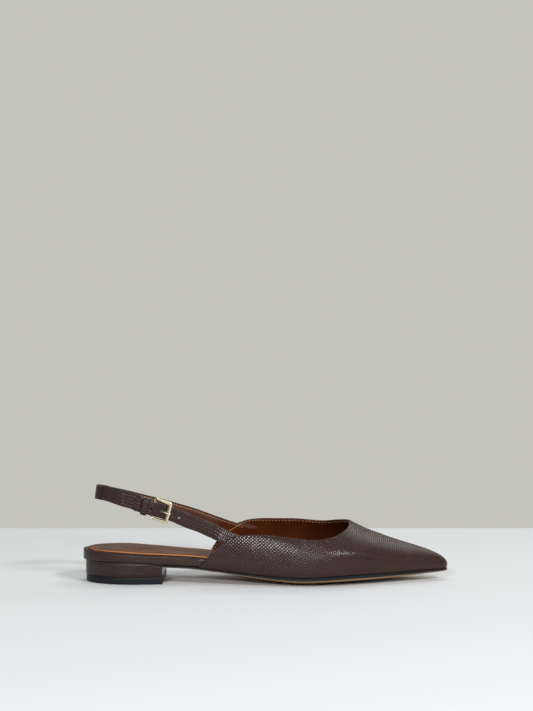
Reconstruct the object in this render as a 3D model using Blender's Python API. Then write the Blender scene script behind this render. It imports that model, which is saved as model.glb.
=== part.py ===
"""Sling back flat for the right foot: pointed upper, low covered heel, buckled heel strap.

Metres, +X to the toe, +Y to the inner side of the foot, +Z up. The origin lies on the
floor, midway between the back of the heel and the tip of the toe. Along the shoe a
station is a share of LENGTH, 0 at the back of the seat and 1 at the tip of the toe.
"""
import math

import bmesh
import bpy
import numpy as np
from mathutils import Matrix, Vector

for item in list(bpy.data.objects):
    bpy.data.objects.remove(item, do_unlink=True)

# The last: its length, its widths, and its heights over the floor.
LENGTH = 0.2750
BALL_WIDTH = 0.0720
SEAT_WIDTH = 0.0546
HEEL_HEIGHT = 0.0165
INSTEP_HEIGHT = 0.0450
TOE_SPRING = 0.0022

# Upper leather, the running gap between neighbours, and the swell of the walls.
WALL = 0.0018
GAP = 0.0003
WALL_SWELL = 0.0022
WALL_SWELL_HEIGHT = 0.0095
QUARTER_BOW = 0.0035

# Bottom: sole, board with its wrapped edge, sock, heel.
SOLE_THICKNESS = 0.0034
SOLE_CROWN = 0.0034
SOLE_MARGIN = 0.0005
SOLE_BEVEL = 0.0014
RAND_HEIGHT = 0.0074
RAND_ROUND = 0.0019
SOCK_THICKNESS = 0.0008
SOCK_DOME = 0.0002
SOCK_INSET = 0.0022
SOCK_BACK_INSET = 0.0036
TOP_PIECE_HEIGHT = 0.0053
TOP_PIECE_INSET = 0.0023
HEEL_INSET = 0.0018
HEEL_LENGTH = 0.0610
HEEL_BREAST_HOLLOW = 0.0008

# Straps, and the buckle on the outer one.
STRAP_HEIGHT = 0.0675
STRAP_WIDTH = 0.0121
STRAP_BACK_WIDTH = 0.0098
BILLET_WIDTH = 0.0103
STRAP_THICKNESS = 0.0017
FOLD_LENGTH = 0.0130
HOLE_DIAMETER = 0.0021
HOLE_PITCH = 0.0070
HOLE_COUNT = 5
BUCKLE_LENGTH = 0.0148
BUCKLE_HEIGHT = 0.0163
BUCKLE_CORNER = 0.0017
BAR_DIAMETER = 0.0018
FRONT_BAR_WIDTH = 0.0030
BILLET_DROP = 0.0006
PRONG_DIAMETER = 0.0012
SLOT_WIDTH = 0.0026
KEEPER_WIDTH = 0.0044
KEEPER_PLACE = 0.0056
KEEPER_THICKNESS = 0.0009
KEEPER_CORNER = 0.0012

# Smoothness of the mesh.
UPPER_COLUMNS = 70
UPPER_ROWS = 14
TOE_CROWDING = 1.45
BOTTOM_STATIONS = 42

# Plan of the insole board: how far its middle lies to the inner side, and half its
# width, as shares of the width there, which goes from SEAT_WIDTH to BALL_WIDTH.
BOARD_PLAN = np.array([
    # station, middle, half width
    (0.000, 0.000, 0.498),
    (0.130, 0.000, 0.500),
    (0.173, -0.004, 0.489),
    (0.227, -0.008, 0.450),
    (0.282, -0.011, 0.398),
    (0.322, -0.012, 0.373),
    (0.378, -0.017, 0.362),
    (0.449, -0.016, 0.382),
    (0.522, -0.006, 0.425),
    (0.591, 0.001, 0.471),
    (0.638, 0.008, 0.478),
    (0.689, 0.011, 0.456),
    (0.740, 0.015, 0.405),
    (0.809, 0.026, 0.310),
    (0.878, 0.036, 0.208),
    (0.951, 0.047, 0.104),
    (1.000, 0.060, 0.036),
])
HEEL_ROUND = 0.130
TOE_ROUND = 0.016
BOARD_END = 0.988
SOCK_END = 0.930

# Side view of the sole: its top as shares of the rise to the heel and of TOE_SPRING,
# its thickness and crown, and the height of the board's wrapped edge.
SOLE_PROFILE = np.array([
    # station, heel rise, toe spring, thickness, crown, rand
    (0.000, 1.000, 0.00, 0.49, 0.20, 1.00),
    (0.064, 1.000, 0.00, 0.49, 0.20, 0.94),
    (0.118, 0.985, 0.00, 0.49, 0.20, 0.90),
    (0.173, 0.895, 0.00, 0.49, 0.20, 0.89),
    (0.224, 0.775, 0.00, 0.49, 0.20, 0.94),
    (0.282, 0.675, 0.00, 0.49, 0.22, 0.93),
    (0.322, 0.590, 0.00, 0.49, 0.26, 0.94),
    (0.378, 0.440, 0.00, 0.50, 0.38, 0.89),
    (0.449, 0.240, 0.00, 0.62, 0.62, 0.74),
    (0.522, 0.077, 0.00, 0.84, 0.88, 0.47),
    (0.593, 0.000, 0.00, 0.98, 1.00, 0.33),
    (0.640, 0.000, 0.12, 1.00, 1.02, 0.27),
    (0.688, 0.000, 0.42, 1.04, 1.02, 0.24),
    (0.739, 0.000, 0.64, 1.08, 0.94, 0.22),
    (0.808, 0.000, 0.70, 1.06, 0.62, 0.20),
    (0.878, 0.000, 0.78, 0.92, 0.34, 0.19),
    (0.951, 0.000, 0.95, 0.70, 0.12, 0.19),
    (1.000, 0.000, 1.00, 0.50, 0.02, 0.19),
])

# The last over the foot: the ridge's height as a share of INSTEP_HEIGHT, its shift to
# the inner side as a share of BALL_WIDTH, the swell of the walls and its height as
# shares of their own sizes, and the roundness of each side from straight roof to arch.
LAST_PROFILE = np.array([
    # station, ridge, shift, swell, swell height, outer roundness, inner roundness
    (0.290, 1.600, 0.000, 0.60, 0.70, 2.00, 2.00),
    (0.400, 1.520, 0.010, 0.80, 0.85, 1.95, 1.95),
    (0.520, 1.400, 0.025, 1.00, 1.00, 1.80, 1.85),
    (0.600, 1.280, 0.036, 1.00, 1.00, 1.60, 1.75),
    (0.667, 1.130, 0.045, 1.00, 1.00, 1.45, 1.65),
    (0.734, 0.985, 0.050, 0.92, 0.92, 1.38, 1.58),
    (0.780, 0.852, 0.053, 0.82, 0.84, 1.36, 1.52),
    (0.815, 0.772, 0.055, 0.72, 0.76, 1.34, 1.48),
    (0.851, 0.692, 0.057, 0.62, 0.68, 1.32, 1.42),
    (0.900, 0.598, 0.060, 0.50, 0.58, 1.30, 1.36),
    (1.000, 0.400, 0.060, 0.28, 0.30, 0.96, 0.96),
])
FAN_STATION = 0.900

# Topline of each side, from the back corner to near the throat, then the throat.
TOPLINE_OUTER = np.array([
    # station, share of INSTEP_HEIGHT
    (0.423, 0.808),
    (0.436, 0.824),
    (0.468, 0.837),
    (0.507, 0.832),
    (0.545, 0.809),
    (0.591, 0.780),
    (0.620, 0.761),
    (0.647, 0.760),
    (0.668, 0.779),
    (0.689, 0.806),
    (0.706, 0.849),
    (0.718, 0.882),
    (0.726, 0.925),
])
TOPLINE_INNER = np.array([
    (0.422, 0.880),
    (0.440, 0.929),
    (0.467, 0.960),
    (0.500, 0.968),
    (0.535, 0.964),
    (0.569, 0.961),
    (0.598, 0.955),
    (0.633, 0.936),
    (0.669, 0.934),
    (0.697, 0.965),
    (0.717, 0.985),
])
THROAT_STATION = 0.7290
QUARTER_BACK_OUTER = 0.321
QUARTER_BACK_INNER = 0.330

# Middle line of each strap: height as a share of STRAP_HEIGHT, and distance from the
# shoe's middle as a share of SEAT_WIDTH. Rows marked 1 lie inside the quarter.
BILLET_LINE = np.array([
    # station, height, side, inside the quarter
    (0.4420, 0.402, -0.440, 1),
    (0.4240, 0.450, -0.440, 1),
    (0.4060, 0.492, -0.440, 1),
    (0.3790, 0.544, -0.440, 1),
    (0.3500, 0.595, -0.395, 0),
    (0.3240, 0.642, -0.384, 0),
    (0.2950, 0.683, -0.380, 0),
])
SLING_LINE = np.array([
    (0.1500, 0.898, -0.378, 0),
    (0.1200, 0.934, -0.358, 0),
    (0.0870, 0.969, -0.322, 0),
    (0.0580, 0.989, -0.264, 0),
    (0.0430, 0.991, -0.172, 0),
    (0.0380, 0.990, -0.060, 0),
    (0.0380, 0.987, 0.060, 0),
    (0.0430, 0.976, 0.172, 0),
    (0.0580, 0.955, 0.264, 0),
    (0.0870, 0.923, 0.320, 0),
    (0.1260, 0.882, 0.348, 0),
    (0.1640, 0.841, 0.364, 0),
    (0.2340, 0.766, 0.374, 0),
    (0.3020, 0.685, 0.374, 0),
    (0.3450, 0.621, 0.378, 0),
    (0.3880, 0.560, 0.434, 1),
    (0.4180, 0.516, 0.432, 1),
    (0.4400, 0.481, 0.430, 1),
])
BUCKLE_STATION = 0.2190
BUCKLE_HEIGHT_SHARE = 0.807
BUCKLE_SIDE_SHARE = -0.382
BUCKLE_SLOPE = math.radians(15.5)
BUCKLE_YAW = math.radians(3.5)
FRAME_TILT = math.radians(9.0)


def at(table, column, station):
    """Smooth curve through one column of a table, read at a station."""
    xs = table[:, 0]
    ys = table[:, column]
    slopes = np.gradient(ys, xs)
    station = np.clip(np.asarray(station, float), xs[0], xs[-1])
    k = np.clip(np.searchsorted(xs, station) - 1, 0, len(xs) - 2)
    span = xs[k + 1] - xs[k]
    f = (station - xs[k]) / span
    return (
        ys[k] * (1 + 2 * f) * (1 - f) ** 2
        + slopes[k] * span * f * (1 - f) ** 2
        + ys[k + 1] * f * f * (3 - 2 * f)
        + slopes[k + 1] * span * f * f * (f - 1)
    )


def ease(low, high, value):
    """Soft step from 0 at low to 1 at high."""
    f = np.clip((np.asarray(value, float) - low) / (high - low), 0.0, 1.0)
    return f * f * (3 - 2 * f)


def round_end(distance, span):
    """Quarter-ellipse end of a plan: 0 at the end, 1 from span inward."""
    return np.sqrt(1.0 - (1.0 - np.clip(distance / span, 0.0, 1.0)) ** 2)


def to_x(station):
    return (station - 0.5) * LENGTH


def plan_middle(s):
    width = SEAT_WIDTH + (BALL_WIDTH - SEAT_WIDTH) * ease(0.22, 0.50, s)
    return at(BOARD_PLAN, 1, s) * width


def plan_half(s):
    width = SEAT_WIDTH + (BALL_WIDTH - SEAT_WIDTH) * ease(0.22, 0.50, s)
    return at(BOARD_PLAN, 2, s) * width * round_end(s, HEEL_ROUND)


def drawn_in(s, inset):
    """Half width of the seat's plan drawn in by an inset, its round back end too."""
    full = plan_half(s) / max(float(round_end(s, HEEL_ROUND)), 1e-6)
    return float((full - inset) * round_end(s - inset / LENGTH, HEEL_ROUND))


def upper_half(s):
    """Half width of the upper's outer face where it meets the sole."""
    return (plan_half(s) + WALL + GAP) * round_end(1.0 - s, TOE_ROUND)


def sole_top(s):
    level = SOLE_THICKNESS + SOLE_CROWN * 0.82
    rise = (HEEL_HEIGHT - level) * at(SOLE_PROFILE, 1, s)
    return level + rise + TOE_SPRING * at(SOLE_PROFILE, 2, s)


def board_top(s):
    return sole_top(s) + GAP + RAND_HEIGHT * at(SOLE_PROFILE, 5, s)


def ridge_height(s):
    return at(LAST_PROFILE, 1, s) * INSTEP_HEIGHT


def ridge_side(s):
    return at(LAST_PROFILE, 2, s) * BALL_WIDTH


# The outer face of the upper. Behind FAN_STATION its sections stand square across the
# shoe and run from the ridge to the sole. In front of it they fan out from one point of
# the ridge to the sole's edge round the toe, so that the tip closes without a pinch.
ARC = np.linspace(0.0, 1.0, 17)
FOOT = np.linspace(0.0, 1.0, 6)[1:]


def section(station, side):
    """Distance from the ridge, height and girth, ridge first, of the section that ends
    on the sole at each station. Arrays have one row for each station."""
    s = np.atleast_1d(np.asarray(station, float))
    spine = np.minimum(s, FAN_STATION)
    dx = to_x(s) - to_x(spine)
    dy = plan_middle(s) + side * upper_half(s) - ridge_side(spine)
    reach = np.hypot(dx, dy)
    swell = at(LAST_PROFILE, 3, s) * WALL_SWELL
    foot_z = sole_top(s) + GAP
    rise = at(LAST_PROFILE, 4, s) * WALL_SWELL_HEIGHT
    top_z = ridge_height(spine)
    power = 2.0 / at(LAST_PROFILE, 5 if side < 0 else 6, s)
    turn = ARC[None, :] * math.pi / 2
    wide = (reach + swell)[:, None]
    wide_z = (foot_z + rise)[:, None]
    d_top = wide * np.sin(turn) ** power[:, None]
    z_top = wide_z + (top_z[:, None] - wide_z) * np.cos(turn)
    turn = FOOT[None, :] * math.pi / 2
    d_low = wide - swell[:, None] * (1 - np.cos(turn))
    z_low = wide_z - rise[:, None] * np.sin(turn)
    d = np.hstack([d_top, d_low])
    z = np.hstack([z_top, z_low])
    girth = np.zeros_like(d)
    girth[:, 1:] = np.cumsum(np.hypot(np.diff(d), np.diff(z)), axis=1)
    return dx / reach, dy / reach, spine, d, z, girth


def girth_at_height(station, height, side):
    """Girth from the ridge down to a height, for stations behind the fan."""
    found = section(station, side)
    z = found[4]
    girth = found[5]
    return np.array([np.interp(-h, -zs, gs) for h, zs, gs in zip(height, z, girth)])


def side_at_height(station, height, side):
    """Where the upper's outer face lies across the shoe at one height."""
    found = section(station, side)
    return float(ridge_side(station) + side * np.interp(-height, -found[4][0], found[3][0]))


def toe_station(along, across):
    """Station on the sole's edge that a direction from the fan's point meets."""
    fan_x = to_x(FAN_STATION)
    fan_y = ridge_side(FAN_STATION)
    side = np.where(across < 0, -1.0, 1.0)
    low = np.full_like(along, FAN_STATION)
    high = np.ones_like(along)
    for _ in range(40):
        mid = (low + high) / 2
        edge = (plan_middle(mid) + side * upper_half(mid) - fan_y) * side
        past = edge * along < (to_x(mid) - fan_x) * np.abs(across)
        high = np.where(past, mid, high)
        low = np.where(past, low, mid)
    return (low + high) / 2


def last_surface(pattern):
    """Point on the outer face for each point of the flat pattern. In the pattern the
    distance from the ridge is the girth over the last."""
    shape = pattern.shape[:-1]
    flat = pattern.reshape(-1, 2)
    fan_x = to_x(FAN_STATION)
    along = flat[:, 0] - fan_x
    across = flat[:, 1]
    fanned = along > 0
    station = flat[:, 0] / LENGTH + 0.5
    station = np.where(fanned, toe_station(np.maximum(along, 1e-9), across), station)
    girth = np.where(fanned, np.hypot(along, across), np.abs(across))
    out = np.zeros((len(flat), 3))
    for side in (-1, 1):
        pick = np.where((across < 0) == (side < 0))[0]
        if len(pick) == 0:
            continue
        ux, uy, spine, d, z, length = section(station[pick], side)
        g = girth[pick][:, None]
        k = np.clip((length < g).sum(axis=1) - 1, 0, length.shape[1] - 2)
        row = np.arange(len(pick))
        f = (g[:, 0] - length[row, k]) / (length[row, k + 1] - length[row, k])
        dist = d[row, k] + f * (d[row, k + 1] - d[row, k])
        out[pick, 0] = to_x(spine) + ux * dist
        out[pick, 1] = ridge_side(spine) + uy * dist
        out[pick, 2] = z[row, k] + f * (z[row, k + 1] - z[row, k])
    return out.reshape(*shape, 3)


def resample(points, shares):
    """Points at shares of the length of a line."""
    steps = np.linalg.norm(np.diff(points, axis=0), axis=1)
    run = np.concatenate([[0.0], np.cumsum(steps)])
    run = run / run[-1]
    return np.stack([np.interp(shares, run, points[:, k]) for k in range(points.shape[1])], 1)


def smooth_line(points, shares):
    """Smooth curve through a few points, read at shares of its length."""
    steps = np.linalg.norm(np.diff(points, axis=0), axis=1)
    run = np.concatenate([[0.0], np.cumsum(steps)])
    table = np.column_stack([run, points])
    where = np.asarray(shares) * run[-1]
    return np.stack([at(table, k + 1, where) for k in range(points.shape[1])], 1)


def feather_half(back, side):
    """Pattern line of the sole's edge on one side, from the quarter's back to the toe."""
    behind = np.linspace(back, FAN_STATION, 60)
    ahead = 1.0 - (1.0 - FAN_STATION) * (1 - np.sin(np.linspace(0.0, 1.0, 60) * math.pi / 2))
    s = np.concatenate([behind, ahead[1:]])
    ux, uy, spine, d, z, girth = section(s, side)
    reach = girth[:, -1]
    square = s <= FAN_STATION
    x = np.where(square, to_x(s), to_x(spine) + ux * reach)
    y = np.where(square, side * reach, uy * reach)
    return np.column_stack([x, y])


def topline_half(table, side):
    """Pattern line of the topline on one side, from its back corner to the throat."""
    girth = girth_at_height(table[:, 0], table[:, 1] * INSTEP_HEIGHT, side)
    points = np.column_stack([to_x(table[:, 0]), side * girth])
    return np.vstack([points, (to_x(THROAT_STATION), 0.0)])


def upper_pattern(columns, rows):
    """Grid over the upper: from the outer back corner round the toe to the inner one,
    and from the sole's edge to the topline."""
    t = np.linspace(0.0, 1.0, columns + 1)
    near = 1 - (1 - t[t <= 0.5] * 2) ** TOE_CROWDING
    far = 1 - (t[t > 0.5] * 2 - 1) ** TOE_CROWDING
    low = np.vstack([
        resample(feather_half(QUARTER_BACK_OUTER, -1), near),
        resample(feather_half(QUARTER_BACK_INNER, 1), far),
    ])
    outer = topline_half(TOPLINE_OUTER, -1)
    inner = topline_half(TOPLINE_INNER, 1)
    line = smooth_line(np.vstack([outer, inner[-2::-1]]), np.linspace(0.0, 1.0, 400))
    throat = np.argmax(line[:, 0])
    high = np.vstack([resample(line[:throat + 1], near), resample(line[throat:][::-1], far)])
    v = np.linspace(0.0, 1.0, rows + 1)[None, :, None]
    grid = low[:, None, :] * (1 - v) + high[:, None, :] * v
    ends = ease(0.10, 0.0, t) - ease(0.90, 1.0, t)
    bow = QUARTER_BOW * np.sin(math.pi * v[..., 0] ** 1.3)
    grid[..., 0] -= np.abs(ends)[:, None] * bow * 0.7
    grid[..., 1] += ends[:, None] * bow * 0.7
    return grid


def material(name, colour, roughness, metallic=0.0):
    made = bpy.data.materials.new(name)
    made.use_nodes = True
    shader = made.node_tree.nodes["Principled BSDF"]
    shader.inputs["Base Color"].default_value = (*colour, 1.0)
    shader.inputs["Roughness"].default_value = roughness
    shader.inputs["Metallic"].default_value = metallic
    return made


def solid(name, points, faces, finish, sharp=40.0):
    """Object from points and faces, with doubled points joined and faces turned out."""
    mesh = bpy.data.meshes.new(name)
    shape = bmesh.new()
    made = [shape.verts.new(p) for p in points]
    for face in faces:
        shape.faces.new([made[k] for k in face])
    bmesh.ops.remove_doubles(shape, verts=shape.verts, dist=2e-6)
    bmesh.ops.recalc_face_normals(shape, faces=shape.faces)
    bmesh.ops.triangulate(shape, faces=[f for f in shape.faces if len(f.verts) > 4])
    shape.to_mesh(mesh)
    shape.free()
    mesh.materials.append(finish)
    mesh.shade_smooth()
    mesh.set_sharp_from_angle(angle=math.radians(sharp))
    made = bpy.data.objects.new(name, mesh)
    bpy.context.collection.objects.link(made)
    return made


def ring_faces(rings, around, closed=False):
    """Quads between neighbouring rings of points, and flat ends unless closed."""
    faces = []
    count = rings if closed else rings - 1
    for i in range(count):
        j = (i + 1) % rings
        for k in range(around):
            m = (k + 1) % around
            faces.append((i * around + k, j * around + k, j * around + m, i * around + m))
    if not closed:
        faces.append(tuple(range(around))[::-1])
        faces.append(tuple((rings - 1) * around + k for k in range(around)))
    return faces


def stack_of_sections(name, stations, ring, finish):
    """Solid through one closed ring of points at each station."""
    rings = [ring(s) for s in stations]
    around = len(rings[0])
    points = [p for one in rings for p in one]
    return solid(name, points, ring_faces(len(rings), around), finish)


def eased_stations(start, end, count):
    """Stations that crowd toward both ends, for plans with round ends."""
    turn = np.linspace(0.0, math.pi, count + 1)
    return start + (end - start) * (1 - np.cos(turn)) / 2


# Upper: one vamp with its two quarters, open at the throat, the back and underneath.
leather = material("embossed_leather", (0.055, 0.028, 0.022), 0.36)
pattern = upper_pattern(UPPER_COLUMNS, UPPER_ROWS)
outer_face = last_surface(pattern)
normal = np.cross(np.gradient(outer_face, axis=0), np.gradient(outer_face, axis=1))
normal /= np.linalg.norm(normal, axis=2, keepdims=True)
if normal[UPPER_COLUMNS // 4, 4, 1] > 0:
    normal = -normal
t_share = np.linspace(0.0, 1.0, UPPER_COLUMNS + 1)[:, None]
v_share = np.linspace(0.0, 1.0, UPPER_ROWS + 1)[None, :]
skive = 1.0 - 0.33 * (ease(0.06, 0.0, t_share) + ease(0.94, 1.0, t_share))
skive = skive * (1.0 - 0.25 * ease(0.9, 1.0, v_share))
inner_face = outer_face - normal * (WALL * skive)[..., None]
cols = UPPER_COLUMNS + 1
rows = UPPER_ROWS + 1
points = np.concatenate([outer_face.reshape(-1, 3), inner_face.reshape(-1, 3)])
faces = []
for i in range(cols - 1):
    for j in range(rows - 1):
        a = i * rows + j
        quad = (a, a + rows, a + rows + 1, a + 1)
        faces.append(quad)
        faces.append(tuple(k + cols * rows for k in quad[::-1]))
rim = [i * rows for i in range(cols)]
rim += [(cols - 1) * rows + j for j in range(1, rows)]
rim += [i * rows + rows - 1 for i in range(cols - 2, -1, -1)]
rim += [j for j in range(rows - 2, 0, -1)]
for k, a in enumerate(rim):
    b = rim[(k + 1) % len(rim)]
    faces.append((a, b, b + cols * rows, a + cols * rows))
upper = solid("upper", points, faces, leather, sharp=50.0)

# Outsole: thin, with an upright black edge, a bevel under it and a crowned underside
# that goes flat where it meets the floor. It shares its stations with the board, so that
# the gap between the two stays even.
breast_station = (HEEL_LENGTH + GAP) / LENGTH
sole_end = 1.0 + SOLE_MARGIN / LENGTH
board_stations = eased_stations(0.0, BOARD_END, BOTTOM_STATIONS)


def sole_ring(s):
    inside = min(s, 1.0)
    fore = ease(0.29, 0.36, s)
    half = plan_half(inside) + fore * (WALL + GAP + SOLE_MARGIN) - (1 - fore) * GAP
    half = max(half * round_end(sole_end - s, TOE_ROUND), 0.0)
    middle = plan_middle(inside)
    top = sole_top(inside)
    thick = SOLE_THICKNESS * at(SOLE_PROFILE, 3, inside)
    crown = SOLE_CROWN * at(SOLE_PROFILE, 4, inside)
    narrow = half / (half + SOLE_BEVEL)
    ring = [(-1.0, top), (0.0, top), (1.0, top), (1.0, top - 0.55 * thick)]
    for y in (1.0, 0.75, 0.5, 0.25, 0.0, -0.25, -0.5, -0.75, -1.0):
        ring.append((y * narrow, max(top - thick - crown * (1 - y * y), 0.0)))
    ring.append((-1.0, top - 0.55 * thick))
    return [(to_x(s), middle + y * half, z) for y, z in ring]


sole_leather = material("sole_leather", (0.20, 0.11, 0.055), 0.45)
shared = board_stations[board_stations > breast_station + 0.01]
tip_turn = np.linspace(0.0, math.pi / 2, 8)[1:]
tip_stations = BOARD_END + (sole_end - BOARD_END) * np.sin(tip_turn)
sole_stations = np.concatenate([[breast_station], shared, tip_stations])
outsole = stack_of_sections("outsole", sole_stations, sole_ring, sole_leather)


# Insole board with its wrapped edge: a rand from heel to waist, hidden further on.
def board_ring(s):
    half = plan_half(s) * round_end(BOARD_END - s, TOE_ROUND)
    middle = plan_middle(s)
    low = sole_top(s) + GAP
    high = board_top(s)
    soft = min(RAND_ROUND, half / 5.5, 0.65 * (high - low))
    ring = [(1.0, -soft, high), (1.0, 0.3 * -soft, high - 0.3 * soft), (1.0, 0.0, high - soft)]
    ring += [(1.0, 0.0, low + 0.3 * (high - low)), (1.0, -0.4 * soft, low)]
    ring += [(-k, l, z) for k, l, z in ring[::-1]]
    tops = [(0.0, 0.0, high)]
    return [(to_x(s), middle + k * (half + l), z) for k, l, z in ring + tops]


board_leather = material("wrapped_board", (0.055, 0.028, 0.022), 0.38)
insole = stack_of_sections("insole", board_stations, board_ring, board_leather)


# Sock lining: a padded tan sheet over the board, thin at its edge.
def sock_ring(s):
    half = (drawn_in(s, SOCK_BACK_INSET) + SOCK_BACK_INSET - SOCK_INSET)
    half = half * round_end(s - SOCK_BACK_INSET / LENGTH, SOCK_BACK_INSET / LENGTH)
    half = half * round_end(SOCK_END - s, 3 * TOE_ROUND)
    middle = plan_middle(s)
    low = board_top(s) + GAP
    swell = min(1.0, half / (20 * SOCK_DOME))
    ring = []
    for y in (-1.0, -0.97, -0.75, -0.4, 0.0, 0.4, 0.75, 0.97, 1.0):
        lift = 0.55 * SOCK_THICKNESS if abs(y) == 1.0 else SOCK_THICKNESS
        ring.append((y, low + lift + SOCK_DOME * swell * (1 - y ** 4)))
    ring += [(1.0, low), (0.0, low), (-1.0, low)]
    return [(to_x(s), middle + y * half, z) for y, z in ring]


sock_leather = material("sock_leather", (0.26, 0.115, 0.05), 0.42)
sock_stations = eased_stations(SOCK_BACK_INSET / LENGTH, SOCK_END, BOTTOM_STATIONS)
sock = stack_of_sections("sock", sock_stations, sock_ring, sock_leather)


# Heel block and top piece: the plan of the seat, drawn in, with a straight breast.
def heel_ring(s, inset, low, high):
    """Ring of a heel layer, its breast hollowed a little."""
    half = drawn_in(s, inset)
    middle = plan_middle(s)
    near_breast = ease(0.7, 1.0, s * LENGTH / HEEL_LENGTH)
    ring = []
    for y in (-1.0, -0.5, 0.0, 0.5, 1.0):
        hollow = HEEL_BREAST_HOLLOW * near_breast * (1 - y * y)
        ring.append((to_x(s) - hollow, middle + y * half, low))
    return ring + [(x, y, high) for x, y, z in ring[::-1]]


def heel_stations(inset):
    start = inset / LENGTH
    turn = np.linspace(0.0, math.pi / 2, 19)
    return start + (HEEL_LENGTH / LENGTH - start) * (1 - np.cos(turn))


heel_cover = material("heel_cover", (0.055, 0.028, 0.022), 0.36)
heel_block = stack_of_sections(
    "heel_block",
    heel_stations(HEEL_INSET),
    lambda s: heel_ring(s, HEEL_INSET, TOP_PIECE_HEIGHT + GAP, float(sole_top(s))),
    heel_cover,
)
rubber = material("rubber", (0.014, 0.014, 0.017), 0.55)
top_piece = stack_of_sections(
    "top_piece",
    heel_stations(TOP_PIECE_INSET),
    lambda s: heel_ring(s, TOP_PIECE_INSET, 0.0, TOP_PIECE_HEIGHT),
    rubber,
)


# Buckle frame of reference: a runs along the strap to the toe, b outward from the foot,
# c up the strap's width. Its zero is the rear bar, which the sling strap folds round.
along = Vector((
    math.cos(BUCKLE_SLOPE) * math.cos(BUCKLE_YAW),
    -math.cos(BUCKLE_SLOPE) * math.sin(BUCKLE_YAW),
    -math.sin(BUCKLE_SLOPE),
))
across = (Vector((0, 0, 1)) - along * along.z).normalized()
outward = across.cross(along).normalized()
if outward.y > 0:
    outward = -outward
buckle_middle = Vector((
    to_x(BUCKLE_STATION),
    BUCKLE_SIDE_SHARE * SEAT_WIDTH,
    BUCKLE_HEIGHT_SHARE * STRAP_HEIGHT,
))
bar_radius = BAR_DIAMETER / 2
rear_bar = buckle_middle - along * (BUCKLE_LENGTH / 2 - bar_radius)


def in_buckle(a, b, c=0.0):
    """World point of a place given in the buckle's frame."""
    return np.array(rear_bar + along * a + outward * b + across * c)


def strap_points(table, side, width):
    """Middle line of a strap and its lean in degrees. The tucked rows lie against the
    inside of the quarter and lean as its wall does."""
    points = []
    for s, height, share, tucked in table:
        y = share * SEAT_WIDTH
        z = height * STRAP_HEIGHT
        lean = 0.0
        if tucked:
            high = side_at_height(s, z + width / 2, side)
            low = side_at_height(s, z - width / 2, side)
            y = (high + low) / 2 - side * (WALL + 2.4 * GAP + STRAP_THICKNESS / 2)
            lean = math.degrees(math.atan2(high - low, width))
        points.append((to_x(s), y, z, lean))
    return np.array(points)


def width_direction(lean, in_frame):
    """Direction of a strap's width: upright but for a lean in degrees toward the inner
    side of the foot, and square to the buckle where in_frame is 1."""
    upright = Vector((0, math.sin(math.radians(lean)), math.cos(math.radians(lean))))
    return upright.lerp(across, in_frame).normalized()


def strap_rings(line, widths, lean, in_frame):
    """Rounded-rectangle rings along the middle line of a strap."""
    rings = []
    tangents = np.gradient(line, axis=0)
    for point, tangent, width, tilt, share in zip(line, tangents, widths, lean, in_frame):
        run = Vector(tangent).normalized()
        upright = width_direction(tilt, share)
        up = (upright - run * upright.dot(run)).normalized()
        face = run.cross(up).normalized()
        half = width / 2
        deep = STRAP_THICKNESS / 2
        edge = 0.35 * STRAP_THICKNESS
        ring = []
        for u, n in ((half - edge, deep), (half, deep - edge), (half, edge - deep),
                     (half - edge, -deep), (edge - half, -deep), (-half, edge - deep),
                     (-half, deep - edge), (edge - half, deep)):
            ring.append(tuple(Vector(point) + up * u + face * n))
        rings.append(ring)
    return rings


def strap(name, line, widths, lean, in_frame, finish):
    rings = strap_rings(line, widths, lean, in_frame)
    points = [p for ring in rings for p in ring]
    return solid(name, points, ring_faces(len(rings), 8), finish, sharp=50.0)


def cutter(name, place, size, turn):
    """Box or drill that only cuts: it isn't part of the shoe."""
    mesh = bpy.data.meshes.new(name)
    shape = bmesh.new()
    if len(size) == 2:
        bmesh.ops.create_cone(
            shape, cap_ends=True, segments=14, radius1=size[0], radius2=size[0], depth=size[1]
        )
    else:
        bmesh.ops.create_cube(shape, size=1.0)
        bmesh.ops.scale(shape, vec=size, verts=shape.verts)
    shape.to_mesh(mesh)
    shape.free()
    made = bpy.data.objects.new(name, mesh)
    made.matrix_world = Matrix.Translation(place) @ turn.to_4x4()
    made.hide_render = True
    made.display_type = "WIRE"
    bpy.context.collection.objects.link(made)
    return made


def cut(piece, tool):
    step = piece.modifiers.new(tool.name, "BOOLEAN")
    step.operation = "DIFFERENCE"
    step.solver = "EXACT"
    step.object = tool


strap_leather = material("strap_leather", (0.055, 0.028, 0.022), 0.38)
fold_radius = bar_radius + GAP + STRAP_THICKNESS / 2
layer = STRAP_THICKNESS + GAP

# Billet: from inside the outer quarter, under the buckle's front bar, over its rear bar
# and through the keeper to its rounded tip.
start = strap_points(BILLET_LINE, -1, BILLET_WIDTH)
front_bar_a = BUCKLE_LENGTH - bar_radius - FRONT_BAR_WIDTH / 2
front_bar_b = math.sin(FRAME_TILT) * front_bar_a
under = front_bar_b - bar_radius - 1.6 * GAP - STRAP_THICKNESS / 2
over = fold_radius + layer + 1.4 * GAP
BILLET_RISE = np.array([
    # share of the buckle's length from the rear bar, share of the climb
    (-0.95, 0.69),
    (-0.72, 0.75),
    (-0.48, 0.87),
    (-0.22, 0.98),
    (0.02, 1.01),
    (0.18, 0.84),
    (0.36, 0.52),
    (0.54, 0.16),
    (0.72, 0.00),
    (0.95, 0.00),
])
through = [
    in_buckle(
        a * BUCKLE_LENGTH, under + (over - under) * climb, -BILLET_DROP * ease(0.0, 0.9, a)
    )
    for a, climb in BILLET_RISE[::-1]
]
billet_points = np.vstack([start[:, :3], through])
billet_run = np.concatenate([np.linspace(0.0, 0.5, 15), np.linspace(0.5, 1.0, 32)[1:]])
billet_line = smooth_line(billet_points, billet_run)
lean_table = np.column_stack([np.linspace(0.0, 0.45, len(start)), start[:, 3]])
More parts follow.
